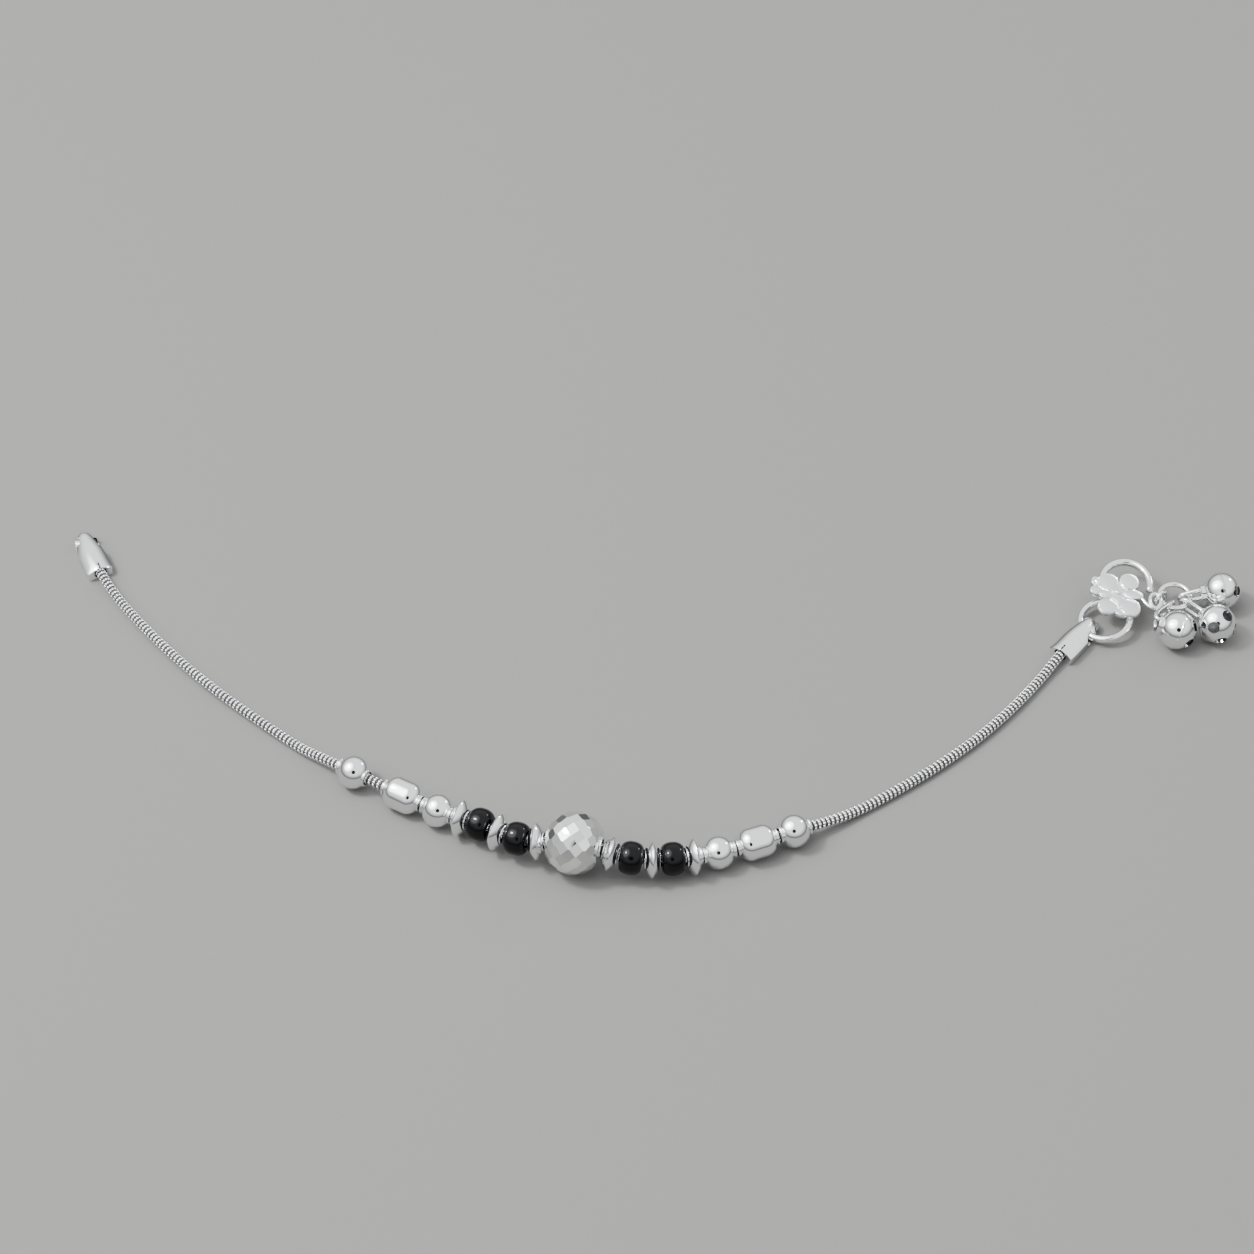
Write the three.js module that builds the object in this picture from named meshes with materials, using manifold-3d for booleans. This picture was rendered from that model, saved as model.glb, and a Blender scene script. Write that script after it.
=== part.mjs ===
// A payal anklet, laid open in an arc on a flat surface: a snake chain through seventeen beads,
// a pressed cap on each end, and a flower clasp with a hook, rings and three round bells.
// Lengths are millimetres and +Z is up. The origin is under the middle of the whole anklet.

import * as THREE from 'three';
import { mergeVertices } from 'three/addons/utils/BufferGeometryUtils.js';
import { ConvexHull } from 'three/addons/math/ConvexHull.js';
import { ConvexGeometry } from 'three/addons/geometries/ConvexGeometry.js';
import Module from 'manifold-3d';

const wasm = await Module();
wasm.setup();

// The arc that the chain lies in, between its two ends
const ARC_SPAN = 187.5;
const ARC_DEPTH = 75.9;

// Clearances
const PLAY = 0.3;                    // round a wire or a chain in its hole
const BEAD_GAP_LEFT = 0.35;          // the left half is strung a little looser
const BEAD_GAP_RIGHT = 0.25;
const SHOWING_CHAIN = 3.7;           // bare chain between the left capsule and its outer ball

// Chain
const CHAIN_DIAMETER = 2.1;
const CHAIN_STEPS = 64;
const CHAIN_SIDES = 8;

// Smooth beads
const BALL_DIAMETER = 6.3;
const BALL_LENGTH = 6.2;
const CAPSULE_DIAMETER = 6.2;
const CAPSULE_LENGTH = 8.0;
const CAPSULE_STRAIGHT = 2.6;
const COLLAR_LENGTH = 0.45;
const COLLAR_WALL = 0.35;

// Bicones and black beads
const BICONE_DIAMETER = 7.0;
const BICONE_LENGTH = 2.9;
const BICONE_HUB_DIAMETER = 3.8;
const BLACK_DIAMETER = 6.2;
const BLACK_LENGTH = 4.2;
const BLACK_END_DIAMETER = 4.0;
const BLACK_STRAIGHT = 0.6;

// Central faceted ball
const CENTRE_DIAMETER = 11.7;
const CENTRE_LENGTH = 10.2;
const CENTRE_BODY_LENGTH = 9.4;
const CENTRE_HOLE_DIAMETER = 3.2;
const CENTRE_COLLAR_DIAMETER = 4.2;
const FACETS_ROUND = 14;
const FACET_ROWS_DEG = [-56, -42, -28, -14, 0, 14, 28, 42, 56];
const FACET_DEPTH_SHARE = 0.972;     // flat of a facet, as a share of the ball's radius

// End caps
const CAP_LENGTH = 11.2;
const CAP_WIDTH = 5.2;
const CAP_HEIGHT = 3.1;
const CAP_CHAIN_DEPTH = 3.2;
const CAP_CHAIN_HEIGHT = 1.6;
const CAP_CORNER = 0.35;
const CAP_SHOULDER_SHARE = 0.62;     // height of the upright sides, as a share of the section
const CAP_SLIT_WIDTH = 0.35;
const CAP_SLIT_LENGTH = 1.5;
const CAP_EYE_INSET = 3.0;           // from the tip to where the ring's wire crosses the cap
const CAP_EYE_HEIGHT = 1.4;
const CAP_EYE_LENGTH = 3.1;
const CAP_EYE_FORWARD = 0.3;         // the eye's middle lies this far towards the tip

// Lower ring, which joins the right cap to the clasp
const RING_RADIUS = 4.7;             // to the middle of its wire
const RING_WIRE = 1.4;
const RING_YAW_DEG = 27;
const RING_TILT_DEG = 9;

// Flower clasp
const CLASP_TILT_DEG = 6;
const CLASP_X_FROM_RING = 2.36;
const CLASP_Y_FROM_RING = 4.17;
const FLOWER_WIDTH = 10;
const FLOWER_THICKNESS = 0.85;
const FLOWER_RIM = 0.34;
const PANEL_DEPTH = 0.24;
const KNOB_TURN_DEG = -40;
const KNOB_LENGTH = 1.5;
const KNOB_WIDTH = 0.6;
const HOOK_WIRE = 1.5;
const HOOK_RADIUS_X = 0.465 * FLOWER_WIDTH;
const HOOK_RADIUS_Y = 0.515 * FLOWER_WIDTH;
const HOOK_DROP = 0.3;               // the hook's wire lies this far below the flower's underside
const HOOK_START_DEG = 205;
const HOOK_END_DEG = -17;
const STEM_WIRE = 0.8;
const EYE_RADIUS_X = 1.05;
const EYE_RADIUS_Y = 1.7;
const EYE_HEIGHT = 0.3;
const STAPLE_WIRE = 0.7;

// Small link, large jump ring and bells
const LINK_WIRE = 0.65;
const JUMP_RADIUS = 2.95;
const JUMP_WIRE = 1.0;
const JUMP_HEIGHT = 3.0;
const JUMP_TILT_DEG = 4;
const JUMP_X_FROM_EYE = 4.06;
const JUMP_Y_FROM_EYE = 2.35;
const LINK_SEAT_DEG = 203;           // where the small link sits on the jump ring
const BELL_DIAMETER = 7.4;
const BELL_WALL = 0.5;
const BELL_HOLE = 2.3;
const BELL_HOLE_POLAR_DEG = 45;
const BELL_HOLES = 4;
const BELL_WASHER_DIAMETER = 3.5;
const BELL_WASHER_THICKNESS = 0.45;
const BELL_SEAM = 0.14;
const BELL_SEAM_WIDTH = 0.4;
const BAIL_WIRE = 0.7;
const BAIL_LEAD_SHARE = 0.33;        // straight run at each end of a bail, as a share of its reach
const BELL_REACH = 3.2;              // from the first bell's surface to the jump ring's wire

// Facet counts
const BEAD_SIDES = 12;
const BELL_ROWS = 8;
const BAIL_STEPS = 26;
const ROUND_STEPS = 5;
const WIRE_SIDES = 6;
const RING_STEPS = 24;

// The chain's route in plan, from inside the left cap to inside the right cap, in hundredths of
// the arc's span and depth. What each point rests on sets its height: a cap, the floor, a ball,
// or a share of the way up to the centre.
const ROUTE = [
  { along: 0, up: 100, on: 'cap' },
  { along: 0.75, up: 95.92, on: 'cap' },
  { along: 2.93, up: 87.35, on: 'floor' },
  { along: 6.45, up: 76.02, on: 'floor' },
  { along: 9.76, up: 66.67, on: 'floor' },
  { along: 14.13, up: 55.86, on: 'floor' },
  { along: 18.4, up: 46.64, on: 'floor' },
  { along: 22.61, up: 38.08, on: 'foot' },
  { along: 24.85, up: 33.73, on: 'rise' },
  { along: 27.95, up: 28.33, on: 'ball' },
  { along: 32.48, up: 21.61, on: 'ball' },
  { along: 36.59, up: 15.94, on: 'ball' },
  { along: 40.8, up: 10.67, on: 'low' },
  { along: 44.75, up: 5.4, on: 'high' },
  { along: 50.03, up: 2.77, on: 'centre' },
  { along: 55.57, up: -0.4, on: 'high' },
  { along: 59.63, up: 0.1, on: 'low' },
  { along: 63.89, up: 2.77, on: 'ball' },
  { along: 67.52, up: 5.8, on: 'ball' },
  { along: 71.31, up: 9.49, on: 'ball' },
  { along: 74.51, up: 13.31, on: 'rise' },
  { along: 77.92, up: 18.31, on: 'foot' },
  { along: 81.97, up: 25.03, on: 'floor' },
  { along: 86.08, up: 32.67, on: 'floor' },
  { along: 90.24, up: 41.77, on: 'floor' },
  { along: 93.76, up: 51.12, on: 'floor' },
  { along: 96.8, up: 60.61, on: 'floor' },
  { along: 98.99, up: 68.05, on: 'cap' },
  { along: 100, up: 71.28, on: 'cap' },
];
const CENTRE_POINT = ROUTE.findIndex((point) => point.on === 'centre');
const RISE_SHARE = 0.5;
const LOW_SHARE = 0.27;
const HIGH_SHARE = 0.5;
const FOOT_LIFT = 0.08;

// Sections of an end cap from its mouth to its tip, as shares of its length, width and height
const CAP_SECTIONS = [
  { along: 0, wide: 0.9, high: 0.94 },
  { along: 0.05, wide: 0.97, high: 0.98 },
  { along: 0.28, wide: 1, high: 1 },
  { along: 0.55, wide: 0.98, high: 0.98 },
  { along: 0.78, wide: 0.86, high: 0.91 },
  { along: 0.94, wide: 0.72, high: 0.82 },
  { along: 1, wide: 0.62, high: 0.72 },
];

// The flower's petals, as ellipses about its middle, and what is soldered to it, all seen from
// above and in tenths of the flower's width
const PETALS = [
  { x: -1.5, y: 3.25, rx: 2.05, ry: 1.95, turn: -20 },
  { x: 2.6, y: 3.1, rx: 1.9, ry: 2.05, turn: 20 },
  { x: 3.15, y: 0.15, rx: 2.0, ry: 1.15, turn: -12 },
  { x: 2.35, y: -3.1, rx: 1.95, ry: 2.1, turn: 15 },
  { x: -1.95, y: -2.6, rx: 1.95, ry: 1.9, turn: -15 },
  { x: -3.85, y: 3.3, rx: 0.95, ry: 1.15, turn: 15 },
  { x: -4.0, y: 1.25, rx: 1.15, ry: 1.05, turn: 0 },
  { x: -2.1, y: 0.35, rx: 1.35, ry: 1.1, turn: 20 },
  { x: 0.55, y: -4.2, rx: 1.3, ry: 0.85, turn: -15 },
];
const FLOWER_DISC = { x: 0, y: 0, rx: 2.5, ry: 2.5, turn: 0 };
const KNOB = { x: 0.15, y: 0.6 };
const EYE_FROM_FLOWER = { x: 7.34, y: -1.12 };
const HOOK_FROM_FLOWER = { x: 2.09, y: 3.61 };
const STEM_BENDS = [
  { x: 3.6, y: 0.3 },
  { x: 4.8, y: -0.7 },
  { x: 5.55, y: -1.9 },
  { x: 6.4, y: -2.65 },
  { x: 7.34, y: -2.82 },
];

// The bells lie on the floor beside one another: the direction and the gap from the bell before
const BELLS = [
  { name: 'bell_front', lieDeg: -84, apart: 0 },
  { name: 'bell_right', lieDeg: 12, apart: 0.4 },
  { name: 'bell_back', lieDeg: 78, apart: 1.35 },
];

// Where each bail sits on the jump ring, and how far it runs past the ring's wire
const BAIL_SEATS = {
  bell_front: { seatDeg: 246, overrun: 0.1 },
  bell_right: { seatDeg: 315, overrun: 0.1 },
  bell_back: { seatDeg: 358, overrun: 1.0 },
};

// The way that each bell's holes face, and how far they are turned about it
const HOLES_FACE = {
  bell_front: { faceDeg: -10, riseDeg: -17, turnDeg: 3 },
  bell_right: { faceDeg: -61, riseDeg: 22, turnDeg: 25 },
  bell_back: { faceDeg: 7, riseDeg: 5, turnDeg: 38 },
};

// Worked-out sizes
const HOLE_RADIUS = CHAIN_DIAMETER / 2 + PLAY;
const COLLAR_RADIUS = HOLE_RADIUS + COLLAR_WALL;
const FLOWER_HEIGHT = CAP_EYE_HEIGHT + RING_WIRE / 2 + PLAY
  + (2 * RING_RADIUS) * Math.sin(THREE.MathUtils.degToRad(RING_TILT_DEG)) + 0.13;

const TENTH = FLOWER_WIDTH / 10;
const EYE_PLACE = new THREE.Vector3(EYE_FROM_FLOWER.x * TENTH, EYE_FROM_FLOWER.y * TENTH, EYE_HEIGHT);

const UP = new THREE.Vector3(0, 0, 1);
const ALONG = new THREE.Vector3(0, 1, 0);

// Materials
function metal(color, roughness) {
  return () => new THREE.MeshStandardMaterial({ color, roughness, metalness: 1 });
}

const polishedSilver = metal(0xd9dbdc, 0.12);
const satinSilver = metal(0xd2d3d6, 0.38);
const chainSilver = metal(0xd0d2d4, 0.25);
const blackGlass = () => (
  new THREE.MeshStandardMaterial({ color: 0x0a0a0b, roughness: 0.08, metalness: 0 })
);

// Solids and booleans
function welded(geometry) {
  const bare = geometry.clone();
  bare.deleteAttribute('normal');
  bare.deleteAttribute('uv');
  return mergeVertices(bare, 1e-4);
}

function solidOf(geometry) {
  const shape = welded(geometry);
  return new wasm.Manifold(new wasm.Mesh({
    numProp: 3,
    vertProperties: new Float32Array(shape.attributes.position.array),
    triVerts: new Uint32Array(shape.index.array),
  }));
}

function geometryOf(solid) {
  const mesh = solid.getMesh();
  const geometry = new THREE.BufferGeometry();
  geometry.setAttribute('position', new THREE.BufferAttribute(mesh.vertProperties, 3));
  geometry.setIndex(new THREE.BufferAttribute(mesh.triVerts, 1));
  return geometry;
}

function joined(geometries) {
  return geometries.map(solidOf).reduce((whole, piece) => whole.add(piece));
}

function cut(geometry, tools) {
  return tools.map(solidOf).reduce((rest, tool) => rest.subtract(tool), solidOf(geometry));
}

function at(geometry, x, y, z) {
  return geometry.translate(x, y, z);
}

// A skin over rings of points; it closes on itself, or ends in two flat fans
function skin(rings, closed) {
  const size = rings[0].length;
  const spots = rings.flat();
  const faces = [];
  const last = closed ? rings.length : rings.length - 1;
  for (let ring = 0; ring < last; ring += 1) {
    const next = (ring + 1) % rings.length;
    for (let side = 0; side < size; side += 1) {
      const beside = (side + 1) % size;
      const [a, b] = [ring * size + side, ring * size + beside];
      const [c, d] = [next * size + side, next * size + beside];
      faces.push(a, b, c, b, d, c);
    }
  }
  if (!closed) {
    const end = (rings.length - 1) * size;
    for (let side = 1; side < size - 1; side += 1) {
      faces.push(0, side + 1, side);
      faces.push(end, end + side, end + side + 1);
    }
  }
  return new THREE.BufferGeometry().setFromPoints(spots).setIndex(faces);
}

// Wires
function wireSection(radius, sides) {
  const corners = Array.from({ length: sides }, (_, corner) => {
    const angle = ((corner + 0.5) / sides) * 2 * Math.PI;
    return new THREE.Vector2(radius * Math.cos(angle), radius * Math.sin(angle));
  });
  return new THREE.Shape(corners);
}

function wireAlong(curve, radius, steps, sides = WIRE_SIDES) {
  return new THREE.ExtrudeGeometry(wireSection(radius, sides), {
    steps,
    bevelEnabled: false,
    extrudePath: curve,
  });
}

function ovalWire(radiusX, radiusY, wireRadius) {
  const rings = Array.from({ length: RING_STEPS }, (_, step) => {
    const angle = (step / RING_STEPS) * 2 * Math.PI;
    const middle = new THREE.Vector3(radiusX * Math.cos(angle), radiusY * Math.sin(angle), 0);
    const outward = new THREE.Vector3(radiusY * Math.cos(angle), radiusX * Math.sin(angle), 0).normalize();
    return wireSection(wireRadius, WIRE_SIDES).getPoints().slice(0, WIRE_SIDES).map((corner) => (
      middle.clone().addScaledVector(outward, corner.x).addScaledVector(UP, corner.y)
    ));
  });
  return skin(rings.reverse(), true);
}

// A hairpin in the XY plane, with its legs on the line y = foot and its bend round (0, bend)
function hairpin(halfWidth, foot, bend) {
  const arc = [0, 30, 60, 90, 120, 150, 180].map((degrees) => {
    const angle = THREE.MathUtils.degToRad(degrees);
    return new THREE.Vector3(halfWidth * Math.cos(angle), bend + halfWidth * Math.sin(angle), 0);
  });
  const halfway = (foot + bend) / 2;
  return new THREE.CatmullRomCurve3([
    new THREE.Vector3(halfWidth, foot, 0),
    new THREE.Vector3(halfWidth, halfway, 0),
    ...arc,
    new THREE.Vector3(-halfWidth, halfway, 0),
    new THREE.Vector3(-halfWidth, foot, 0),
  ]);
}

// Turned beads: an outside profile of [radius, along] points, closed by the hole
function drilled(outside, halfLength) {
  const foot = [HOLE_RADIUS, -halfLength];
  const profile = [foot, ...outside, [HOLE_RADIUS, halfLength], foot];
  const spots = profile.map(([radius, along]) => new THREE.Vector2(radius, along));
  return new THREE.LatheGeometry(spots, BEAD_SIDES);
}

function barrel({ radius, straight, body, half, neck }) {
  const lastAngle = Math.acos(neck / radius);
  const reach = (body - straight) / Math.sin(lastAngle);
  const bulge = [];
  for (let step = 0; step <= ROUND_STEPS; step += 1) {
    const angle = (step / ROUND_STEPS) * lastAngle;
    bulge.push([radius * Math.cos(angle), straight + reach * Math.sin(angle)]);
  }
  if (straight === 0) bulge.shift();
  const upper = body < half ? [...bulge, [neck, half]] : bulge;
  const lower = upper.map(([across, along]) => [across, -along]).reverse();
  const middle = straight === 0 ? [[radius, 0]] : [];
  return drilled([...lower, ...middle, ...upper], half);
}

function ballBead() {
  const radius = BALL_DIAMETER / 2;
  const half = BALL_LENGTH / 2;
  return barrel({ radius, straight: 0, body: half - COLLAR_LENGTH, half, neck: COLLAR_RADIUS });
}

function capsuleBead() {
  const half = CAPSULE_LENGTH / 2;
  const radius = CAPSULE_DIAMETER / 2;
  const straight = CAPSULE_STRAIGHT / 2;
  return barrel({ radius, straight, body: half - COLLAR_LENGTH, half, neck: COLLAR_RADIUS });
}

function blackBead() {
  const half = BLACK_LENGTH / 2;
  const radius = BLACK_DIAMETER / 2;
  return barrel({ radius, straight: BLACK_STRAIGHT / 2, body: half, half, neck: BLACK_END_DIAMETER / 2 });
}

function biconeBead() {
  const half = BICONE_LENGTH / 2;
  const edge = BICONE_DIAMETER / 2;
  const hub = BICONE_HUB_DIAMETER / 2;
  const swell = (edge + hub) / 2 + 0.12;
  return drilled([[hub, -half], [swell, -half / 2], [edge, 0], [swell, half / 2], [hub, half]], half);
}

// The solid inside a set of planes, each given by its outward normal and distance from the middle
function insidePlanes(planes) {
  const duals = planes.map(({ normal, distance }) => normal.clone().divideScalar(distance));
  const hull = new ConvexHull().setFromPoints(duals);
  const corners = hull.faces.map((face) => face.normal.clone().divideScalar(face.constant));
  return new ConvexGeometry(corners);
}

function facetedBall() {
  const radius = CENTRE_DIAMETER / 2;
  const row = Array.from({ length: FACETS_ROUND }, (_, facet) => facet);
  const planes = FACET_ROWS_DEG.flatMap((latitude, order) => row.map((facet) => {
    const turn = ((facet + (order % 2) / 2) / FACETS_ROUND) * 2 * Math.PI;
    const lift = THREE.MathUtils.degToRad(latitude);
    const normal = new THREE.Vector3(
      Math.cos(lift) * Math.cos(turn),
      Math.sin(lift),
      Math.cos(lift) * Math.sin(turn),
    );
    return { normal, distance: radius * FACET_DEPTH_SHARE };
  }));
  const ends = [ALONG, ALONG.clone().negate()];
  const endPlanes = ends.map((normal) => ({ normal, distance: CENTRE_BODY_LENGTH / 2 }));
  const collarRadius = CENTRE_COLLAR_DIAMETER / 2;
  const holeRadius = CENTRE_HOLE_DIAMETER / 2;
  const collar = new THREE.CylinderGeometry(collarRadius, collarRadius, CENTRE_LENGTH, BEAD_SIDES);
  const hole = new THREE.CylinderGeometry(holeRadius, holeRadius, CENTRE_LENGTH + 2, BEAD_SIDES);
  const body = joined([insidePlanes([...planes, ...endPlanes]), collar]);
  return geometryOf(body.subtract(solidOf(hole)));
}

// End cap: mouth at x = 0, tip at x = CAP_LENGTH, flat underside on z = 0
function capSection({ along, wide, high }) {
  const half = (wide * CAP_WIDTH) / 2;
  const top = high * CAP_HEIGHT;
  const shoulder = top * CAP_SHOULDER_SHARE;
  const outline = [[half - CAP_CORNER, 0], [half, CAP_CORNER]];
  for (let step = 0; step <= 8; step += 1) {
    const angle = (step / 8) * Math.PI;
    outline.push([half * Math.cos(angle), shoulder + (top - shoulder) * Math.sin(angle)]);
  }
  outline.push([-half, CAP_CORNER], [-half + CAP_CORNER, 0]);
  return outline.map(([y, z]) => new THREE.Vector3(along * CAP_LENGTH, y, z));
}

// The cross hole near the tip follows the ring's wire, which crosses the cap at a slant
function slotAcross() {
  const height = RING_WIRE + 2 * PLAY;
  const straight = (CAP_EYE_LENGTH - height) / 2;
  const slot = new THREE.Shape();
  slot.absarc(straight, 0, height / 2, -Math.PI / 2, Math.PI / 2);
  slot.absarc(-straight, 0, height / 2, Math.PI / 2, (3 * Math.PI) / 2);
  const depth = CAP_WIDTH + 2;
  const bar = new THREE.ExtrudeGeometry(slot, { depth, bevelEnabled: false, curveSegments: 4 });
  bar.translate(0, 0, -depth / 2).rotateX(Math.PI / 2);
  bar.rotateZ(-THREE.MathUtils.degToRad(RING_YAW_DEG));
  return at(bar, CAP_LENGTH - CAP_EYE_INSET + CAP_EYE_FORWARD, 0, CAP_EYE_HEIGHT);
}

function endCap() {
  const body = skin(CAP_SECTIONS.map(capSection), false);
  const hole = new THREE.CylinderGeometry(HOLE_RADIUS, HOLE_RADIUS, 2 * CAP_CHAIN_DEPTH, BEAD_SIDES);
  at(hole.rotateZ(Math.PI / 2), 0, 0, CAP_CHAIN_HEIGHT);
  const slit = new THREE.BoxGeometry(2 * CAP_SLIT_LENGTH, CAP_SLIT_WIDTH, CAP_HEIGHT);
  at(slit, 0, 0, CAP_CHAIN_HEIGHT + CAP_HEIGHT / 2);
  return geometryOf(cut(body, [hole, slit, slotAcross()]));
}

// Flower clasp, with the flower's underside on z = 0 and its middle over the origin
function petal({ x, y, rx, ry, turn }, inset, low, high) {
  const outline = new THREE.Shape();
  const angle = THREE.MathUtils.degToRad(turn);
  outline.absellipse(
    x * TENTH,
    y * TENTH,
    rx * TENTH - inset,
    ry * TENTH - inset,
    0,
    2 * Math.PI,
    false,
    angle,
  );
  const depth = high - low;
  const slab = new THREE.ExtrudeGeometry(outline, { depth, bevelEnabled: false, curveSegments: 6 });
  return at(slab, 0, 0, low);
}

function flower() {
  const top = FLOWER_THICKNESS;
  const floorOfPanel = top - PANEL_DEPTH;
  const knob = new THREE.SphereGeometry(0.5, 10, 6).scale(KNOB_LENGTH, KNOB_WIDTH, KNOB_WIDTH);
  at(knob.rotateZ(THREE.MathUtils.degToRad(KNOB_TURN_DEG)), KNOB.x * TENTH, KNOB.y * TENTH, top);
  const plate = joined([petal(FLOWER_DISC, 0, 0, top), ...PETALS.map((row) => petal(row, 0, 0, top))]);
  const panels = joined(PETALS.map((row) => petal(row, FLOWER_RIM, floorOfPanel, top + 1)));
  return plate.subtract(panels).add(solidOf(knob));
}

function hook() {
  const [start, end] = [HOOK_START_DEG, HOOK_END_DEG].map(THREE.MathUtils.degToRad);
  const spots = [];
  for (let step = 0; step <= 12; step += 1) {
    const angle = start + (step / 12) * (end - start);
    spots.push(new THREE.Vector3(
      HOOK_FROM_FLOWER.x * TENTH + HOOK_RADIUS_X * Math.cos(angle),
      HOOK_FROM_FLOWER.y * TENTH + HOOK_RADIUS_Y * Math.sin(angle),
      -HOOK_DROP,
    ));
  }
  const bent = wireAlong(new THREE.CatmullRomCurve3(spots), HOOK_WIRE / 2, 22);
  const tip = new THREE.SphereGeometry(HOOK_WIRE / 2, 8, 6);
  const lastSpot = spots[spots.length - 1];
  return [bent, at(tip, lastSpot.x, lastSpot.y, lastSpot.z)];
}

function stemAndEye() {
  const lift = (share) => THREE.MathUtils.lerp(FLOWER_THICKNESS / 2, EYE_HEIGHT, share);
  const spots = STEM_BENDS.map(({ x, y }, bend) => (
    new THREE.Vector3(x * TENTH, y * TENTH, lift(bend / (STEM_BENDS.length - 1)))
  ));
  const stem = wireAlong(new THREE.CatmullRomCurve3(spots), STEM_WIRE / 2, 12);
  const eye = ovalWire(EYE_RADIUS_X, EYE_RADIUS_Y, STEM_WIRE / 2);
  at(eye, EYE_PLACE.x, EYE_PLACE.y, EYE_PLACE.z);
  return [stem, eye];
}

// The loop under the flower that holds the lower ring, given the ring's wire in clasp terms
function staple(wireSpot, heading) {
  const half = RING_WIRE / 2 + PLAY + STAPLE_WIRE / 2;
  const loop = wireAlong(hairpin(half, wireSpot.z - 0.4, 0), STAPLE_WIRE / 2, 16);
  loop.rotateX(-Math.PI / 2).rotateZ(heading);
  return at(loop, wireSpot.x, wireSpot.y, wireSpot.z);
}

function flowerClasp(wireSpot, heading) {
  const wires = joined([...hook(), ...stemAndEye(), staple(wireSpot, heading)]);
  return geometryOf(flower().add(wires));
}

// A bail leaves the bell's pole at (0, radius, 0), bends over to a seat on the ring's wire and comes
// back, its two legs one above the other
function bail(seat, up, overrun) {
  const pole = new THREE.Vector3(0, BELL_DIAMETER / 2, 0);
  const lead = pole.distanceTo(seat) * BAIL_LEAD_SHARE;
  const bend = pole.clone().addScaledVector(ALONG, lead);
  const approach = seat.clone().sub(bend).normalize();
  const middleLine = new THREE.CubicBezierCurve3(
    pole,
    bend,
    seat.clone().addScaledVector(approach, -lead),
    seat.clone().addScaledVector(approach, overrun),
  );
  const half = JUMP_WIRE / 2 + PLAY + BAIL_WIRE / 2;
  const legs = [0, 1, 2, 3, 4, 5, 6, 7, 8].map((step) => {
    const share = step / 8;
    const tangent = middleLine.getTangent(share);
    const above = up.clone().addScaledVector(tangent, -up.dot(tangent)).normalize();
    return { spot: middleLine.getPoint(share), tangent, above };
  });
  const end = legs[legs.length - 1];
  const turn = [30, 60, 90, 120, 150].map((degrees) => {
    const angle = THREE.MathUtils.degToRad(degrees);
    return end.spot.clone()
      .addScaledVector(end.above, half * Math.cos(angle))
      .addScaledVector(end.tangent, half * Math.sin(angle));
  });
  const upper = legs.map(({ spot, above }) => spot.clone().addScaledVector(above, half));
  const lower = legs.map(({ spot, above }) => spot.clone().addScaledVector(above, -half)).reverse();
  return wireAlong(new THREE.CatmullRomCurve3([...upper, ...turn, ...lower]), BAIL_WIRE / 2, BAIL_STEPS);
}

// Bells: bail end on +Y, round holes about the other end
function bell(seat, up, overrun, turnDeg) {
  const radius = BELL_DIAMETER / 2;
  const shell = new THREE.SphereGeometry(radius, BEAD_SIDES, BELL_ROWS);
  const inside = new THREE.SphereGeometry(radius - BELL_WALL, BEAD_SIDES, BELL_ROWS);
  const seamRadius = radius + BELL_SEAM;
  const seam = new THREE.CylinderGeometry(seamRadius, seamRadius, BELL_SEAM_WIDTH, BEAD_SIDES);
  const washerRadius = BELL_WASHER_DIAMETER / 2;
  const washer = new THREE.CylinderGeometry(washerRadius, washerRadius, 2 * BELL_WASHER_THICKNESS, 10);
  at(washer, 0, radius, 0);
  const holes = Array.from({ length: BELL_HOLES }, (_, hole) => {
    const drill = new THREE.CylinderGeometry(BELL_HOLE / 2, BELL_HOLE / 2, radius, 8);
    at(drill, 0, -radius, 0).rotateX(THREE.MathUtils.degToRad(BELL_HOLE_POLAR_DEG));
    return drill.rotateY((hole / BELL_HOLES) * 2 * Math.PI + THREE.MathUtils.degToRad(turnDeg));
  });
  const body = joined([shell, seam, washer, bail(seat, up, overrun)]);
  return geometryOf(body.subtract(solidOf(inside)).subtract(joined(holes)));
}

// Pieces
const anklet = new THREE.Group();

function addPiece(name, geometry, material, parent = anklet) {
  const piece = new THREE.Mesh(geometry, material());
  piece.name = name;
  parent.add(piece);
  return piece;
}

// The chain and what is strung on it
const HEIGHTS = {
  cap: CAP_CHAIN_HEIGHT,
  floor: CHAIN_DIAMETER / 2,
  foot: CHAIN_DIAMETER / 2 + FOOT_LIFT,
  rise: THREE.MathUtils.lerp(CHAIN_DIAMETER / 2, BALL_DIAMETER / 2, RISE_SHARE),
  ball: BALL_DIAMETER / 2,
  low: THREE.MathUtils.lerp(BALL_DIAMETER / 2, CENTRE_DIAMETER / 2, LOW_SHARE),
  high: THREE.MathUtils.lerp(BALL_DIAMETER / 2, CENTRE_DIAMETER / 2, HIGH_SHARE),
  centre: CENTRE_DIAMETER / 2,
};
const route = new THREE.CatmullRomCurve3(ROUTE.map(({ along, up, on }) => (
  new THREE.Vector3((along / 100) * ARC_SPAN, (up / 100) * ARC_DEPTH, HEIGHTS[on])
)));
const SAMPLES_PER_POINT = 24;
route.arcLengthDivisions = SAMPLES_PER_POINT * (ROUTE.length - 1);
const routeLengths = route.getLengths();
const routeLength = route.getLength();
const centreStation = routeLengths[CENTRE_POINT * SAMPLES_PER_POINT];

addPiece('snake_chain', wireAlong(route, CHAIN_DIAMETER / 2, CHAIN_STEPS, CHAIN_SIDES), chainSilver);

function stringBead(name, station, geometry, material) {
  const share = station / routeLength;
  const bead = addPiece(name, geometry, material);
  bead.position.copy(route.getPointAt(share));
  bead.quaternion.setFromUnitVectors(ALONG, route.getTangentAt(share));
}

stringBead('central_ball', centreStation, facetedBall(), polishedSilver);

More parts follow.
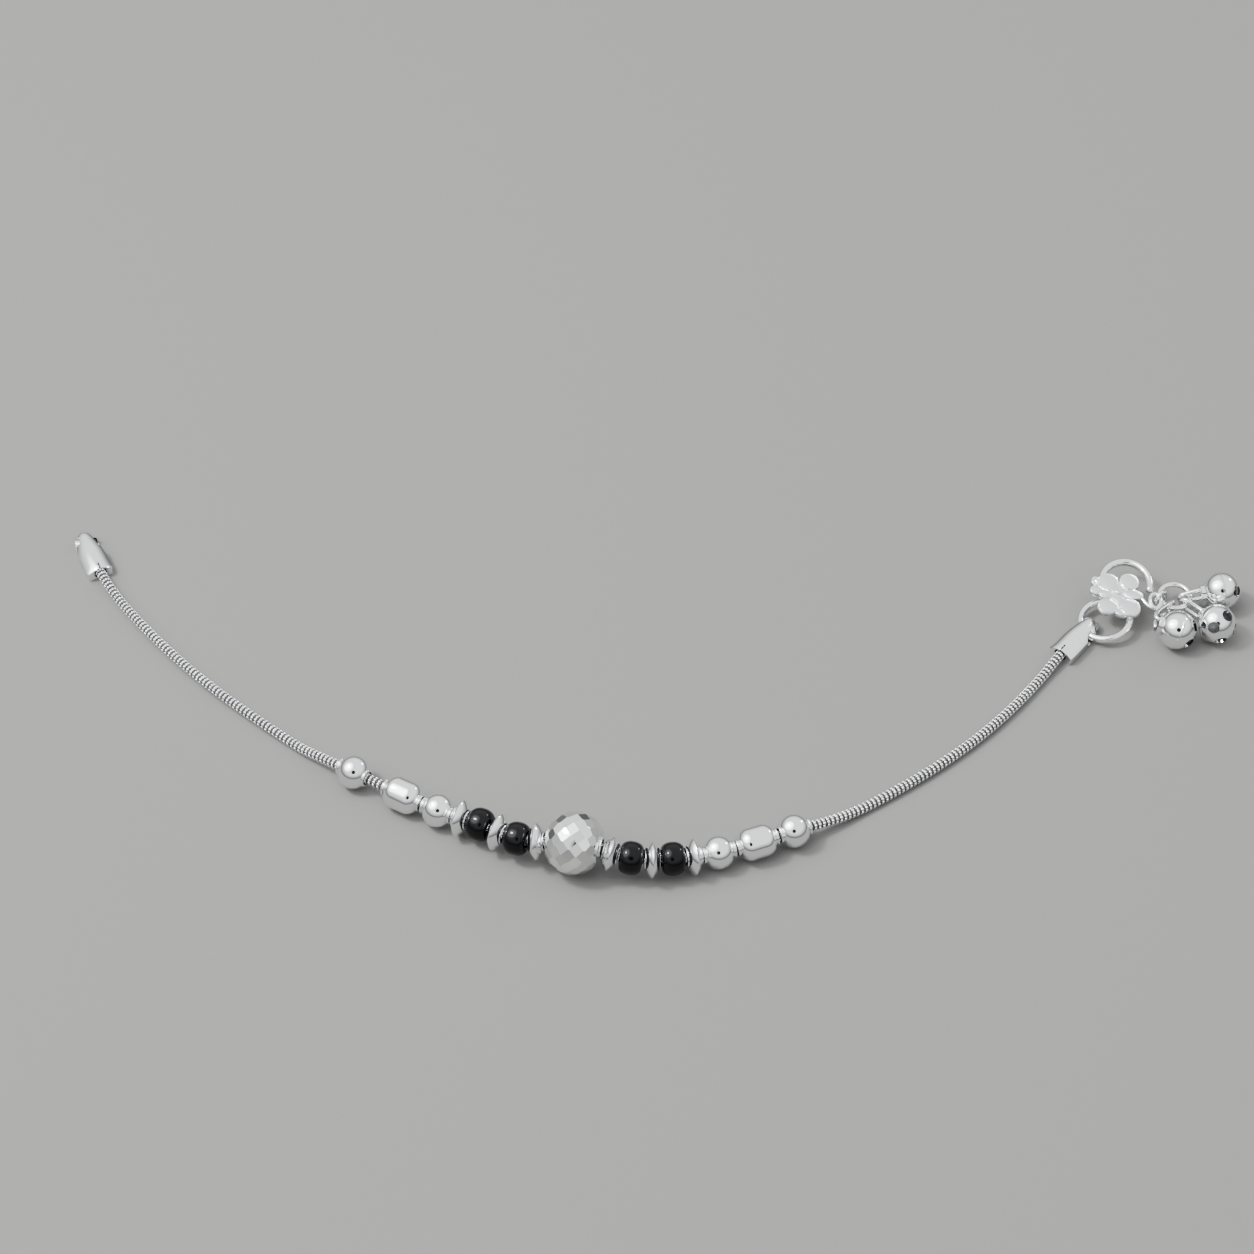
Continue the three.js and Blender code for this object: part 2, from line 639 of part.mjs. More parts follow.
const BEAD_KINDS = {
  bicone: { make: biconeBead, length: BICONE_LENGTH, material: polishedSilver },
  black: { make: blackBead, length: BLACK_LENGTH, material: blackGlass },
  ball: { make: ballBead, length: BALL_LENGTH, material: polishedSilver },
  capsule: { make: capsuleBead, length: CAPSULE_LENGTH, material: polishedSilver },
};
const STRUNG_OUTWARD = [
  { kind: 'bicone', left: 'bicone_3', right: 'bicone_4' },
  { kind: 'black', left: 'black_bead_2', right: 'black_bead_3' },
  { kind: 'bicone', left: 'bicone_2', right: 'bicone_5' },
  { kind: 'black', left: 'black_bead_1', right: 'black_bead_4' },
  { kind: 'bicone', left: 'bicone_1', right: 'bicone_6' },
  { kind: 'ball', left: 'inner_ball_left', right: 'inner_ball_right' },
  { kind: 'capsule', left: 'capsule_left', right: 'capsule_right' },
  { kind: 'ball', left: 'outer_ball_left', right: 'outer_ball_right' },
];

function stringSide(side, direction, gap, gapBeforeLast) {
  let reached = CENTRE_LENGTH / 2;
  STRUNG_OUTWARD.forEach((row, place) => {
    const { make, length, material } = BEAD_KINDS[row.kind];
    const before = place === STRUNG_OUTWARD.length - 1 ? gapBeforeLast : gap;
    const station = reached + before + length / 2;
    stringBead(row[side], centreStation + direction * station, make(), material);
    reached = station + length / 2;
  });
}

stringSide('left', -1, BEAD_GAP_LEFT, SHOWING_CHAIN);
stringSide('right', 1, BEAD_GAP_RIGHT, BEAD_GAP_RIGHT);

// The end caps, each with the chain's end in its mouth
function seatCap(name, share, direction) {
  const end = route.getPointAt(share);
  const heading = route.getTangentAt(share).multiplyScalar(direction);
  const cap = addPiece(name, endCap(), polishedSilver);
  const angle = Math.atan2(heading.y, heading.x);
  const inside = CAP_CHAIN_DEPTH - PLAY;
  cap.rotation.z = angle;
  cap.position.set(end.x - inside * Math.cos(angle), end.y - inside * Math.sin(angle), 0);
  return cap;
}

seatCap('end_cap_left', 0, -1);
const rightCap = seatCap('end_cap_right', 1, 1);
rightCap.updateMatrixWorld();

// The lower ring crosses the right cap's eye and rises towards the clasp
const ringGroup = new THREE.Group();
anklet.add(ringGroup);
const wireInCap = new THREE.Vector3(CAP_LENGTH - CAP_EYE_INSET, 0, CAP_EYE_HEIGHT);
ringGroup.position.copy(rightCap.localToWorld(wireInCap));
ringGroup.rotation.order = 'ZYX';
ringGroup.rotation.z = rightCap.rotation.z - THREE.MathUtils.degToRad(RING_YAW_DEG);
ringGroup.rotation.y = -THREE.MathUtils.degToRad(RING_TILT_DEG);
const ringWire = ovalWire(RING_RADIUS, RING_RADIUS, RING_WIRE / 2);
const lowerRing = addPiece('lower_ring', ringWire, polishedSilver, ringGroup);
lowerRing.position.x = RING_RADIUS;
ringGroup.updateMatrixWorld(true);
const ringMiddle = lowerRing.localToWorld(new THREE.Vector3());
const ringFarWire = lowerRing.localToWorld(new THREE.Vector3(RING_RADIUS, 0, 0));

// The flower clasp
const claspGroup = new THREE.Group();
anklet.add(claspGroup);
claspGroup.position.set(ringMiddle.x + CLASP_X_FROM_RING, ringMiddle.y + CLASP_Y_FROM_RING, FLOWER_HEIGHT);
claspGroup.rotation.x = THREE.MathUtils.degToRad(CLASP_TILT_DEG);
claspGroup.updateMatrixWorld();
const wireSpot = claspGroup.worldToLocal(ringFarWire.clone());
addPiece('flower_clasp', flowerClasp(wireSpot, ringGroup.rotation.z), satinSilver, claspGroup);
const eyeMiddle = claspGroup.localToWorld(EYE_PLACE.clone());

// The large jump ring
const jumpRing = addPiece('jump_ring', ovalWire(JUMP_RADIUS, JUMP_RADIUS, JUMP_WIRE / 2), polishedSilver);
jumpRing.position.set(eyeMiddle.x + JUMP_X_FROM_EYE, eyeMiddle.y + JUMP_Y_FROM_EYE, JUMP_HEIGHT);
jumpRing.rotation.x = THREE.MathUtils.degToRad(JUMP_TILT_DEG);
jumpRing.updateMatrixWorld();

function seatOnJumpRing(degrees) {
  const angle = THREE.MathUtils.degToRad(degrees);
  const seat = new THREE.Vector3(JUMP_RADIUS * Math.cos(angle), JUMP_RADIUS * Math.sin(angle), 0);
  return jumpRing.localToWorld(seat);
}

// A frame whose Y runs along a direction and whose XY plane stands upright
function uprightFrame(direction) {
  const side = UP.clone().cross(direction).normalize();
  const above = direction.clone().cross(side);
  return new THREE.Matrix4().makeBasis(above, direction, side);
}

// The small link stands upright through the clasp's eye and round the jump ring's wire
function addSmallLink() {
  const seat = seatOnJumpRing(LINK_SEAT_DEG);
  const level = new THREE.Vector3(seat.x - eyeMiddle.x, seat.y - eyeMiddle.y, 0);
  const past = JUMP_WIRE / 2 / 0.8 + PLAY + LINK_WIRE / 2;
  const halfWide = (level.length() + past) / 2;
  const high = eyeMiddle.z + STEM_WIRE / 2 + PLAY + LINK_WIRE / 2;
  const low = seat.z - JUMP_WIRE / 2 - PLAY - LINK_WIRE / 2;
  const halfHigh = (high - low) / 2 + 0.15;
  const link = addPiece('small_link', ovalWire(halfHigh, halfWide, LINK_WIRE / 2), polishedSilver);
  const heading = level.normalize();
  link.quaternion.setFromRotationMatrix(uprightFrame(heading));
  link.position.set(eyeMiddle.x, eyeMiddle.y, (high + low) / 2).addScaledVector(heading, halfWide);
}

addSmallLink();

// The bells, each with its bail round the jump ring's wire
function addBells() {
  const radius = BELL_DIAMETER / 2;
  let before = seatOnJumpRing(BAIL_SEATS[BELLS[0].name].seatDeg);
  let step = radius + BELL_REACH;
  BELLS.forEach(({ name, lieDeg, apart }, order) => {
    const { seatDeg, overrun } = BAIL_SEATS[name];
    const { faceDeg, riseDeg, turnDeg } = HOLES_FACE[name];
    if (order > 0) step = BELL_DIAMETER + apart;
    const lie = THREE.MathUtils.degToRad(lieDeg);
    const place = new THREE.Vector3(
      before.x + step * Math.cos(lie),
      before.y + step * Math.sin(lie),
      radius + BELL_SEAM,
    );
    const [face, rise] = [faceDeg, riseDeg].map(THREE.MathUtils.degToRad);
    const holesFace = new THREE.Vector3(
      Math.cos(face) * Math.cos(rise),
      Math.sin(face) * Math.cos(rise),
      Math.sin(rise),
    );
    const stand = uprightFrame(holesFace.negate()).setPosition(place);
    const back = stand.clone().invert();
    const seat = seatOnJumpRing(seatDeg).applyMatrix4(back);
    const up = UP.clone().transformDirection(back);
    const piece = addPiece(name, bell(seat, up, overrun, turnDeg), polishedSilver);
    piece.applyMatrix4(stand);
    before = place;
  });
}

addBells();

// The origin goes under the middle of the whole
anklet.updateMatrixWorld(true);
const extent = new THREE.Box3().setFromObject(anklet, true);
const middle = extent.getCenter(new THREE.Vector3());
anklet.position.set(-middle.x, -middle.y, -extent.min.z);

export default anklet;
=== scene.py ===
# %% [markdown]
# A payal is an anklet of light silver. This one lies open in an arc: a snake chain carries smooth,
# faceted and black beads, and ends in a pressed cap on the left and in a flower clasp with a hook,
# rings and three round bells on the right. The solid model of it is already made and measured, so
# it is loaded first as a fixed frame. Each piece is then dressed in its own place in that frame.

# %% Load the frame
import math

import bmesh
import bpy
from mathutils import Matrix, Vector


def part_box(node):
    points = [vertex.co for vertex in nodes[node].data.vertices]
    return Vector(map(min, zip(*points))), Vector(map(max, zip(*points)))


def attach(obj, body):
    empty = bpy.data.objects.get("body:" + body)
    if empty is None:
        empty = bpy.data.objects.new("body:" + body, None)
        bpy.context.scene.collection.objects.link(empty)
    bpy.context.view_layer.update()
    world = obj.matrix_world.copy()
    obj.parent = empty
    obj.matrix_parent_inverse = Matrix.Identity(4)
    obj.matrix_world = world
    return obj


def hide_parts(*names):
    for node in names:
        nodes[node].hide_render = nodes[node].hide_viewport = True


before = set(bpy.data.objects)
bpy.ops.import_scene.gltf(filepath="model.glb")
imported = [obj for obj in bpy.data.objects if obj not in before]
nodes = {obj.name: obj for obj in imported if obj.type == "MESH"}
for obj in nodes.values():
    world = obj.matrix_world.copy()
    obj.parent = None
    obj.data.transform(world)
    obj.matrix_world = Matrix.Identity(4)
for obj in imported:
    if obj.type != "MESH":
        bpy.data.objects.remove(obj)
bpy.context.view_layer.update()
MM = 0.001
print("solids:", len(nodes))

# %% [markdown]
# Three small helpers are used in many cells. One puts a new object in the scene. The others make a
# shader node or a geometry node with its values already set, and link a row of them.

# %% Scene helpers
def add_object(name, data):
    thing = bpy.data.objects.new(name, data)
    bpy.context.scene.collection.objects.link(thing)
    return thing


def add_node(tree, kind, inputs=None, **settings):
    """A new node with its settings, and with values in those inputs that stay unlinked."""
    node = tree.nodes.new(kind)
    for name, value in settings.items():
        setattr(node, name, value)
    for socket, value in (inputs or {}).items():
        node.inputs[socket].default_value = value
    return node


def in_a_row(tree, *row):
    """Links nodes in a row, the first output of each to the first input of the next."""
    for before, after in zip(row, row[1:]):
        tree.links.new(before.outputs[0], after.inputs[0])


# %% [markdown]
# The camera comes first, because every later choice is judged through it. It stands in front of
# the arc and looks down at about half a right angle through a long lens, so the near and the far
# side keep almost the same scale, as in a catalogue picture.

# %% Camera
CAMERA_DISTANCE = 0.730
CAMERA_LIFT = math.radians(47.5)
CAMERA_AIM = Vector((-0.00491, 0.02026, 0.0))
PICTURE_PIXELS = 1254
FOCAL_PIXELS = 3800
SENSOR_WIDTH_MM = 36
NEAREST_SEEN = 0.05

to_camera = Vector((0, -math.cos(CAMERA_LIFT), math.sin(CAMERA_LIFT)))
camera_data = bpy.data.cameras.new("camera")
camera_data.sensor_width = SENSOR_WIDTH_MM
camera_data.lens = SENSOR_WIDTH_MM * FOCAL_PIXELS / PICTURE_PIXELS
camera_data.clip_start = NEAREST_SEEN
camera = add_object("camera", camera_data)
camera.location = CAMERA_AIM + CAMERA_DISTANCE * to_camera
camera.rotation_euler = (-to_camera).to_track_quat("-Z", "Y").to_euler()
bpy.context.scene.camera = camera
print("lens in mm:", round(camera_data.lens, 1))

# %% [markdown]
# Polished metal has almost no colour of its own: it shows the room. So the room is designed as
# carefully as the jewel. Its dome is a bright pale grey overhead and falls to a dark horizon, so
# that each ball gets a dark line where the floor begins. A soft bright cloud at the upper left
# gives the highlight, without the square edge of a lamp, and a dark patch where the camera stands
# gives the little black reflections that make silver read as silver. A flat white room would turn
# every ball into a plain disc.

# %% Room and lights
DOME_ZENITH = (0.93, 0.95, 0.96, 1)
DOME_HORIZON = (0.10, 0.10, 0.105, 1)
DOME_STRENGTH = 1.7
HORIZON_FROM = 0.02
HORIZON_TO = 0.62
CLOUD = (4.6, 4.6, 4.55, 1)
CLOUD_DIRECTION = Vector((-0.50, 0.02, 0.80)).normalized()
CLOUD_EDGE_DEG = 34
CLOUD_CORE_DEG = 8
DARK_PATCH = (0.012, 0.012, 0.014, 1)
PATCH_EDGE_DEG = 15
PATCH_CORE_DEG = 11
# Each lamp: its name, its place and its width in metres, and its watts.
LAMPS = [
    ("key_lamp", 0.9 * CLOUD_DIRECTION, 0.16, 8.0),
    ("rim_lamp", (0.55, 0.45, 0.40), 0.12, 0.8),
]


def smooth_share(tree, low, high):
    limits = {"From Min": low, "From Max": high}
    return add_node(tree, "ShaderNodeMapRange", limits, interpolation_type="SMOOTHSTEP")


def patch_in_sky(tree, base, direction, edge_deg, core_deg, color):
    """Mixes a round patch of another colour into the sky, soft from its edge to its core."""
    view = add_node(tree, "ShaderNodeTexCoord")
    towards = add_node(tree, "ShaderNodeVectorMath", {1: direction}, operation="DOT_PRODUCT")
    share = smooth_share(tree, math.cos(math.radians(edge_deg)), math.cos(math.radians(core_deg)))
    mix = add_node(tree, "ShaderNodeMix", {"B": color}, data_type="RGBA")
    link = tree.links.new
    link(view.outputs["Generated"], towards.inputs[0])
    link(towards.outputs["Value"], share.inputs["Value"])
    link(share.outputs["Result"], mix.inputs["Factor"])
    link(base, mix.inputs["A"])
    return mix.outputs["Result"]


def make_dome():
    world = bpy.data.worlds.new("studio")
    world.use_nodes = True
    tree = world.node_tree
    tree.nodes.clear()
    output = add_node(tree, "ShaderNodeOutputWorld")
    background = add_node(tree, "ShaderNodeBackground", {"Strength": DOME_STRENGTH})
    view = add_node(tree, "ShaderNodeTexCoord")
    split = add_node(tree, "ShaderNodeSeparateXYZ")
    height = smooth_share(tree, HORIZON_FROM, HORIZON_TO)
    sky = add_node(tree, "ShaderNodeMix", {"A": DOME_HORIZON, "B": DOME_ZENITH}, data_type="RGBA")
    link = tree.links.new
    link(view.outputs["Generated"], split.inputs[0])
    link(split.outputs["Z"], height.inputs["Value"])
    link(height.outputs["Result"], sky.inputs["Factor"])
    with_cloud = patch_in_sky(
        tree, sky.outputs["Result"], CLOUD_DIRECTION, CLOUD_EDGE_DEG, CLOUD_CORE_DEG, CLOUD)
    with_patch = patch_in_sky(
        tree, with_cloud, to_camera, PATCH_EDGE_DEG, PATCH_CORE_DEG, DARK_PATCH)
    link(with_patch, background.inputs["Color"])
    link(background.outputs["Background"], output.inputs["Surface"])
    bpy.context.scene.world = world


def soft_lamp(name, place, width, watts):
    """A round lamp that shines on the middle of the anklet."""
    light = bpy.data.lights.new(name, "AREA")
    light.shape = "DISK"
    light.size = width
    light.energy = watts
    holder = add_object(name, light)
    holder.location = place
    holder.rotation_euler = (-Vector(place)).to_track_quat("-Z", "Y").to_euler()


make_dome()
for lamp in LAMPS:
    soft_lamp(*lamp)

# %% [markdown]
# The floor is plain and pale, so that nothing competes with the metal. It is a real surface and
# not a colour in the background, because the lower half of every ball mirrors it and the soft
# shadows on it show where each bead touches down.

# %% Floor
FLOOR_SIZE = 6.0
FLOOR_COLOR = (0.18, 0.178, 0.175, 1)
FLOOR_ROUGHNESS = 0.75


def principled(name, color, metallic, roughness):
    material = bpy.data.materials.new(name)
    material.use_nodes = True
    shader = material.node_tree.nodes["Principled BSDF"]
    shader.inputs["Base Color"].default_value = color
    shader.inputs["Metallic"].default_value = metallic
    shader.inputs["Roughness"].default_value = roughness
    return material, shader


def make_floor():
    material, shader = principled("pale_floor", FLOOR_COLOR, 0, FLOOR_ROUGHNESS)
    shader.inputs["Specular IOR Level"].default_value = 0
    bpy.ops.mesh.primitive_plane_add(size=FLOOR_SIZE)
    floor = bpy.context.object
    floor.name = "floor"
    floor.data.materials.append(material)


make_floor()

# %% [markdown]
# Polished silver is a mirror with the faintest unevenness: a slow noise moves its roughness a
# little and a very shallow bump breaks up its reflections. The caps and the chain are the same but
# duller, and satin silver, on the flower, has a fine grain. The chain's core and its lower plates
# are painted dark, a painted shade for the gaps between the plates, and the insides of the bells
# are a darker silver. These patterns read Object coordinates, which are metres here, so a noise
# scale of 2000 has grains of about half a millimetre. On the faceted ball the noise reads the
# direction of each facet instead, and paints a tone on each facet: a painted reflection. The black
# beads are glossy pressed glass.

# %% Finishes
SILVER_COLOR = (0.90, 0.905, 0.91, 1)
# Each finish: its colour, its lowest and highest roughness, the scale of its noise, and the
# strength of its bump and the bump's depth in metres.
SILVERS = {
    "polished_silver": (SILVER_COLOR, 0.035, 0.07, 260, 0.03, 0.0004),
    "cap_silver": (SILVER_COLOR, 0.05, 0.09, 500, 0.03, 0.0003),
    "chain_silver": ((0.95, 0.953, 0.957, 1), 0.10, 0.18, 900, 0.05, 0.0002),
    # Painted shade: the chain's core and its sunk plates get this dark silver for the shade between
    # plates.
    "shade_painted_silver": ((0.09, 0.09, 0.094, 1), 0.35, 0.5, 900, 0.05, 0.0002),
    "bell_inside": ((0.45, 0.45, 0.455, 1), 0.30, 0.45, 900, 0.05, 0.0002),
    "satin_silver": ((0.70, 0.705, 0.715, 1), 0.30, 0.42, 5200, 0.35, 0.00006),
}
NOISE_MIDDLE = (0.3, 0.7)
NOISE_DETAIL = 3
FACET_ROUGHNESS = 0.04
# Painted reflection on the faceted ball: a noise on each facet's direction sets its tone between these
# two.
FACET_NOISE_SCALE = 3.7
FACET_NOISE_MIDDLE = (0.35, 0.65)
FACET_REFLECTION_TONES = (0.68, 0.97)
BLACK_COLOR = (0.002, 0.002, 0.0025, 1)
BLACK_ROUGHNESS = 0.06
BLACK_GRAIN = (0.03, 0.07, 320, 0.04, 0.0003)
BLACK_SPECULAR = 0.2


def noise_between(tree, scale, detail, middle, low, high):
    """A noise, and a node that spreads its middle values from a low value to a high one."""
    noise = add_node(tree, "ShaderNodeTexNoise", {"Scale": scale, "Detail": detail})
    spread = add_node(tree, "ShaderNodeMapRange", {
        "From Min": middle[0], "From Max": middle[1], "To Min": low, "To Max": high})
    tree.links.new(noise.outputs["Fac"], spread.inputs["Value"])
    return noise, spread


def uneven(material, shader, low, high, scale, bump_share, bump_depth):
    """One noise moves the roughness between two values and is a shallow bump too."""
    tree = material.node_tree
    place = add_node(tree, "ShaderNodeTexCoord")
    noise, spread = noise_between(tree, scale, NOISE_DETAIL, NOISE_MIDDLE, low, high)
    bump = add_node(tree, "ShaderNodeBump", {"Strength": bump_share, "Distance": bump_depth})
    link = tree.links.new
    link(place.outputs["Object"], noise.inputs["Vector"])
    link(spread.outputs["Result"], shader.inputs["Roughness"])
    link(noise.outputs["Fac"], bump.inputs["Height"])
    link(bump.outputs["Normal"], shader.inputs["Normal"])


def paint_facet_reflections(material, shader):
    """Paints each facet a tone from its direction: a painted reflection."""
    tree = material.node_tree
    flat = add_node(tree, "ShaderNodeNewGeometry")
    noise, tone = noise_between(tree, FACET_NOISE_SCALE, 0, FACET_NOISE_MIDDLE, *FACET_REFLECTION_TONES)
    tree.links.new(flat.outputs["True Normal"], noise.inputs["Vector"])
    tree.links.new(tone.outputs["Result"], shader.inputs["Base Color"])


def silver(name, color, low, *grain):
    material, shader = principled(name, color, 1, low)
    uneven(material, shader, low, *grain)
    return material


polished_silver, cap_silver, chain_silver, shade_painted_silver, bell_inside, satin_silver = [
    silver(name, *finish) for name, finish in SILVERS.items()]
# The faceted ball's silver carries a painted reflection, a tone painted on each facet.
painted_reflection_faceted_silver, faceted_shader = principled("painted_reflection_faceted_silver", SILVER_COLOR, 1, FACET_ROUGHNESS)
paint_facet_reflections(painted_reflection_faceted_silver, faceted_shader)
black_glass, black_shader = principled("black_glass", BLACK_COLOR, 0, BLACK_ROUGHNESS)
uneven(black_glass, black_shader, *BLACK_GRAIN)
black_shader.inputs["Specular IOR Level"].default_value = BLACK_SPECULAR

# %% [markdown]
# More helpers keep the later cells short. A finished piece sits at the origin with its place in
# its own mesh, rides on the frame's one body, and replaces the plain solid that held its place.
# Two ways of making metal are shared by nearly everything here: a profile turned round an axis,
# as a lathe does, and a wire swept along a path.

# %% Making pieces
SHARP_EDGE = math.radians(32)
WIRE_SIDES = 20
ROUND_TIP_DEG = (0, 20, 40, 60, 75, 86)


def soften(mesh, angle=SHARP_EDGE):
    mesh.polygons.foreach_set("use_smooth", [True] * len(mesh.polygons))
    mesh.set_sharp_from_angle(angle=angle)


def new_piece(name, points, faces, smooth=True):
    mesh = bpy.data.meshes.new(name)
    mesh.from_pydata(points, [], faces)
    mesh.validate()
    if smooth:
        soften(mesh)
    return add_object(name, mesh)


def finish_piece(piece, node, slot, *materials):
    piece.data.materials.clear()
    for material in materials:
        piece.data.materials.append(material)
    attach(piece, "root")
    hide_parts(node)


def on_circle(radius, angle, height=0):
    return Vector((radius * math.cos(angle), radius * math.sin(angle), height))


def turned(profile, sides, matrix, closed=True):
    """A profile of (radius, along) turned round Z: a closed one, or an open one with capped poles."""
    count = len(profile)
    points, faces = [], []
    for step in range(sides):
        angle = 2 * math.pi * step / sides
        points += [matrix @ (on_circle(radius, angle, along) * MM) for radius, along in profile]
    for step in range(sides):
        after = (step + 1) % sides
        for row in range(count if closed else count - 1):
            above = (row + 1) % count
            faces.append((step * count + row, after * count + row,
                          after * count + above, step * count + above))
    if not closed:
        faces.append(tuple(step * count for step in reversed(range(sides))))
        faces.append(tuple(step * count + count - 1 for step in range(sides)))
    return points, faces


def band(start, after, size, turn=0):
    """The faces between two rings of corners that begin at two places in the list of points."""
    faces = []
    for corner in range(size):
        beside = (corner + 1) % size
        faces.append((start + corner, start + beside,
                      after + (beside + turn) % size, after + (corner + turn) % size))
    return faces


def rounded_end(ring, tangent):
    spot, across, above, radius = ring
    angles = [math.radians(degrees) for degrees in ROUND_TIP_DEG]
    return [(spot + tangent * radius * math.sin(angle), across, above, radius * math.cos(angle))
            for angle in angles]


def seam_twist(rings):
    """How many corners the last ring is turned against the first, where a wire closes on itself."""
    first, last = rings[0], rings[-1]
    angle = math.atan2(last[1].dot(first[2]), last[1].dot(first[1]))
    return round(angle / (2 * math.pi) * WIRE_SIDES) % WIRE_SIDES


def swept(path, radius, closed=False, round_tip=False):
    """A round wire along a list of points, all in millimetres."""
    count = len(path)
    tangents = []
    for step in range(count):
        before = path[(step - 1) % count] if closed or step else path[0]
        after = path[(step + 1) % count] if closed or step < count - 1 else path[-1]
        tangents.append((after - before).normalized())
    side = tangents[0].orthogonal().normalized()
    rings = []
    for spot, tangent in zip(path, tangents):
        side = (side - tangent * side.dot(tangent)).normalized()
        rings.append((spot, side.copy(), tangent.cross(side), radius))
    if round_tip:
        rings = rings[:-1] + rounded_end(rings[-1], tangents[-1])
    points, faces = [], []
    for spot, across, above, size in rings:
        for corner in range(WIRE_SIDES):
            angle = 2 * math.pi * corner / WIRE_SIDES
            points.append(spot + size * (math.cos(angle) * across + math.sin(angle) * above))
    last = len(points) - WIRE_SIDES
    for start in range(0, last, WIRE_SIDES):
        faces += band(start, start + WIRE_SIDES, WIRE_SIDES)
    if closed:
        faces += band(last, 0, WIRE_SIDES, seam_twist(rings))
    else:
        faces += [tuple(reversed(range(WIRE_SIDES))), tuple(range(last, last + WIRE_SIDES))]
    return points, faces


def gathered(parts, matrix=None):
    """Several (points, faces) in millimetres as one set in metres, moved by a matrix."""
    points, faces = [], []
    for part_points, part_faces in parts:
        start = len(points)
        points += [matrix @ (spot * MM) if matrix else spot * MM for spot in part_points]
        faces += [tuple(corner + start for corner in face) for face in part_faces]
    return points, faces


def outward(piece):
    shape = bmesh.new()
    shape.from_mesh(piece.data)
    bmesh.ops.recalc_face_normals(shape, faces=shape.faces)
    shape.to_mesh(piece.data)
    shape.free()


def bake_modifiers(piece):
    graph = bpy.context.evaluated_depsgraph_get()
    mesh = bpy.data.meshes.new_from_object(piece.evaluated_get(graph))
    piece.modifiers.clear()
    piece.data = mesh


def carve(piece, tools):
    """Cuts every tool out of a piece, and removes the tools."""
    for tool in tools:
        cutter = piece.modifiers.new("carve", "BOOLEAN")
        cutter.operation = "DIFFERENCE"
        cutter.solver = "EXACT"
        cutter.object = tool
    bpy.context.view_layer.update()
    bake_modifiers(piece)
    for tool in tools:
        bpy.data.objects.remove(tool)


# %% [markdown]
# Everything is strung on one line, so the line is worked out first. It passes through the points
# of the solid model's route, given in hundredths of the arc's span and depth. Its heights follow
# from what each stretch rests on: the floor, a small ball, or a share of the way up to the big
# ball. A centripetal Catmull-Rom curve is used because it goes through its points without loops or
# overshoot, however unevenly they are spaced.

# %% The chain's line
CHAIN_RADIUS = 1.05
BALL_RADIUS = 3.15
CENTRE_RADIUS = 5.85
CAP_CHAIN_HEIGHT = 1.6
FOOT_LIFT = 0.08
LOW_SHARE = 0.27
HIGH_SHARE = 0.5
ARC_SPAN = 187.5
ARC_DEPTH = 75.9
HEIGHTS = {
    "cap": CAP_CHAIN_HEIGHT,
    "floor": CHAIN_RADIUS,
    "foot": CHAIN_RADIUS + FOOT_LIFT,
    "rise": (CHAIN_RADIUS + BALL_RADIUS) / 2,
    "ball": BALL_RADIUS,
    "low": BALL_RADIUS + LOW_SHARE * (CENTRE_RADIUS - BALL_RADIUS),
    "high": BALL_RADIUS + HIGH_SHARE * (CENTRE_RADIUS - BALL_RADIUS),
    "centre": CENTRE_RADIUS,
}
ROUTE = [
    (0, 100, "cap"),
    (0.75, 95.92, "cap"),
    (2.93, 87.35, "floor"),
    (6.45, 76.02, "floor"),
    (9.76, 66.67, "floor"),
    (14.13, 55.86, "floor"),
    (18.4, 46.64, "floor"),
    (22.61, 38.08, "foot"),
    (24.85, 33.73, "rise"),
    (27.95, 28.33, "ball"),
    (32.48, 21.61, "ball"),
    (36.59, 15.94, "ball"),
    (40.8, 10.67, "low"),
    (44.75, 5.4, "high"),
    (50.03, 2.77, "centre"),
    (55.57, -0.4, "high"),
    (59.63, 0.1, "low"),
    (63.89, 2.77, "ball"),
    (67.52, 5.8, "ball"),
    (71.31, 9.49, "ball"),
    (74.51, 13.31, "rise"),
    (77.92, 18.31, "foot"),
    (81.97, 25.03, "floor"),
    (86.08, 32.67, "floor"),
    (90.24, 41.77, "floor"),
    (93.76, 51.12, "floor"),
    (96.8, 60.61, "floor"),
    (98.99, 68.05, "cap"),
    (100, 71.28, "cap"),
]
SAMPLES = 24
HEADING_REACH = 6


def segment_point(p0, p1, p2, p3, share):
    """A point of a centripetal Catmull-Rom segment between p1 and p2."""
    gaps = [max((b - a).length, 1e-9) ** 0.5 for a, b in ((p0, p1), (p1, p2), (p2, p3))]
    start = ((p1 - p0) / gaps[0] - (p2 - p0) / (gaps[0] + gaps[1]) + (p2 - p1) / gaps[1]) * gaps[1]
    end = ((p2 - p1) / gaps[1] - (p3 - p1) / (gaps[1] + gaps[2]) + (p3 - p2) / gaps[2]) * gaps[1]
    square = -3 * p1 + 3 * p2 - 2 * start - end
    cube = 2 * p1 - 2 * p2 + start + end
    return p1 + start * share + square * share ** 2 + cube * share ** 3


def smooth_line(spots, samples=SAMPLES):
    spots = [Vector(spot) for spot in spots]
    ends = [2 * spots[0] - spots[1]] + spots + [2 * spots[-1] - spots[-2]]
    line = []
    for start in range(len(spots) - 1):
        for step in range(samples):
            line.append(segment_point(*ends[start:start + 4], step / samples))
    line.append(spots[-1])
    return line


def box_centre(node):
    low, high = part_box(node)
    return (low + high) / 2


centre_row = next(row for row, point in enumerate(ROUTE) if point[2] == "centre")
rough = [Vector((along / 100 * ARC_SPAN, up / 100 * ARC_DEPTH, HEIGHTS[on])) for along, up, on in ROUTE]
line = smooth_line(rough)
big_ball = box_centre("central_ball") / MM
frame_shift = big_ball - line[centre_row * SAMPLES]
frame_shift.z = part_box("end_cap_right")[0].z / MM
line = [spot + frame_shift for spot in line]
lengths = [0.0]
for before, after in zip(line, line[1:]):
    lengths.append(lengths[-1] + (after - before).length)
centre_station = lengths[centre_row * SAMPLES]


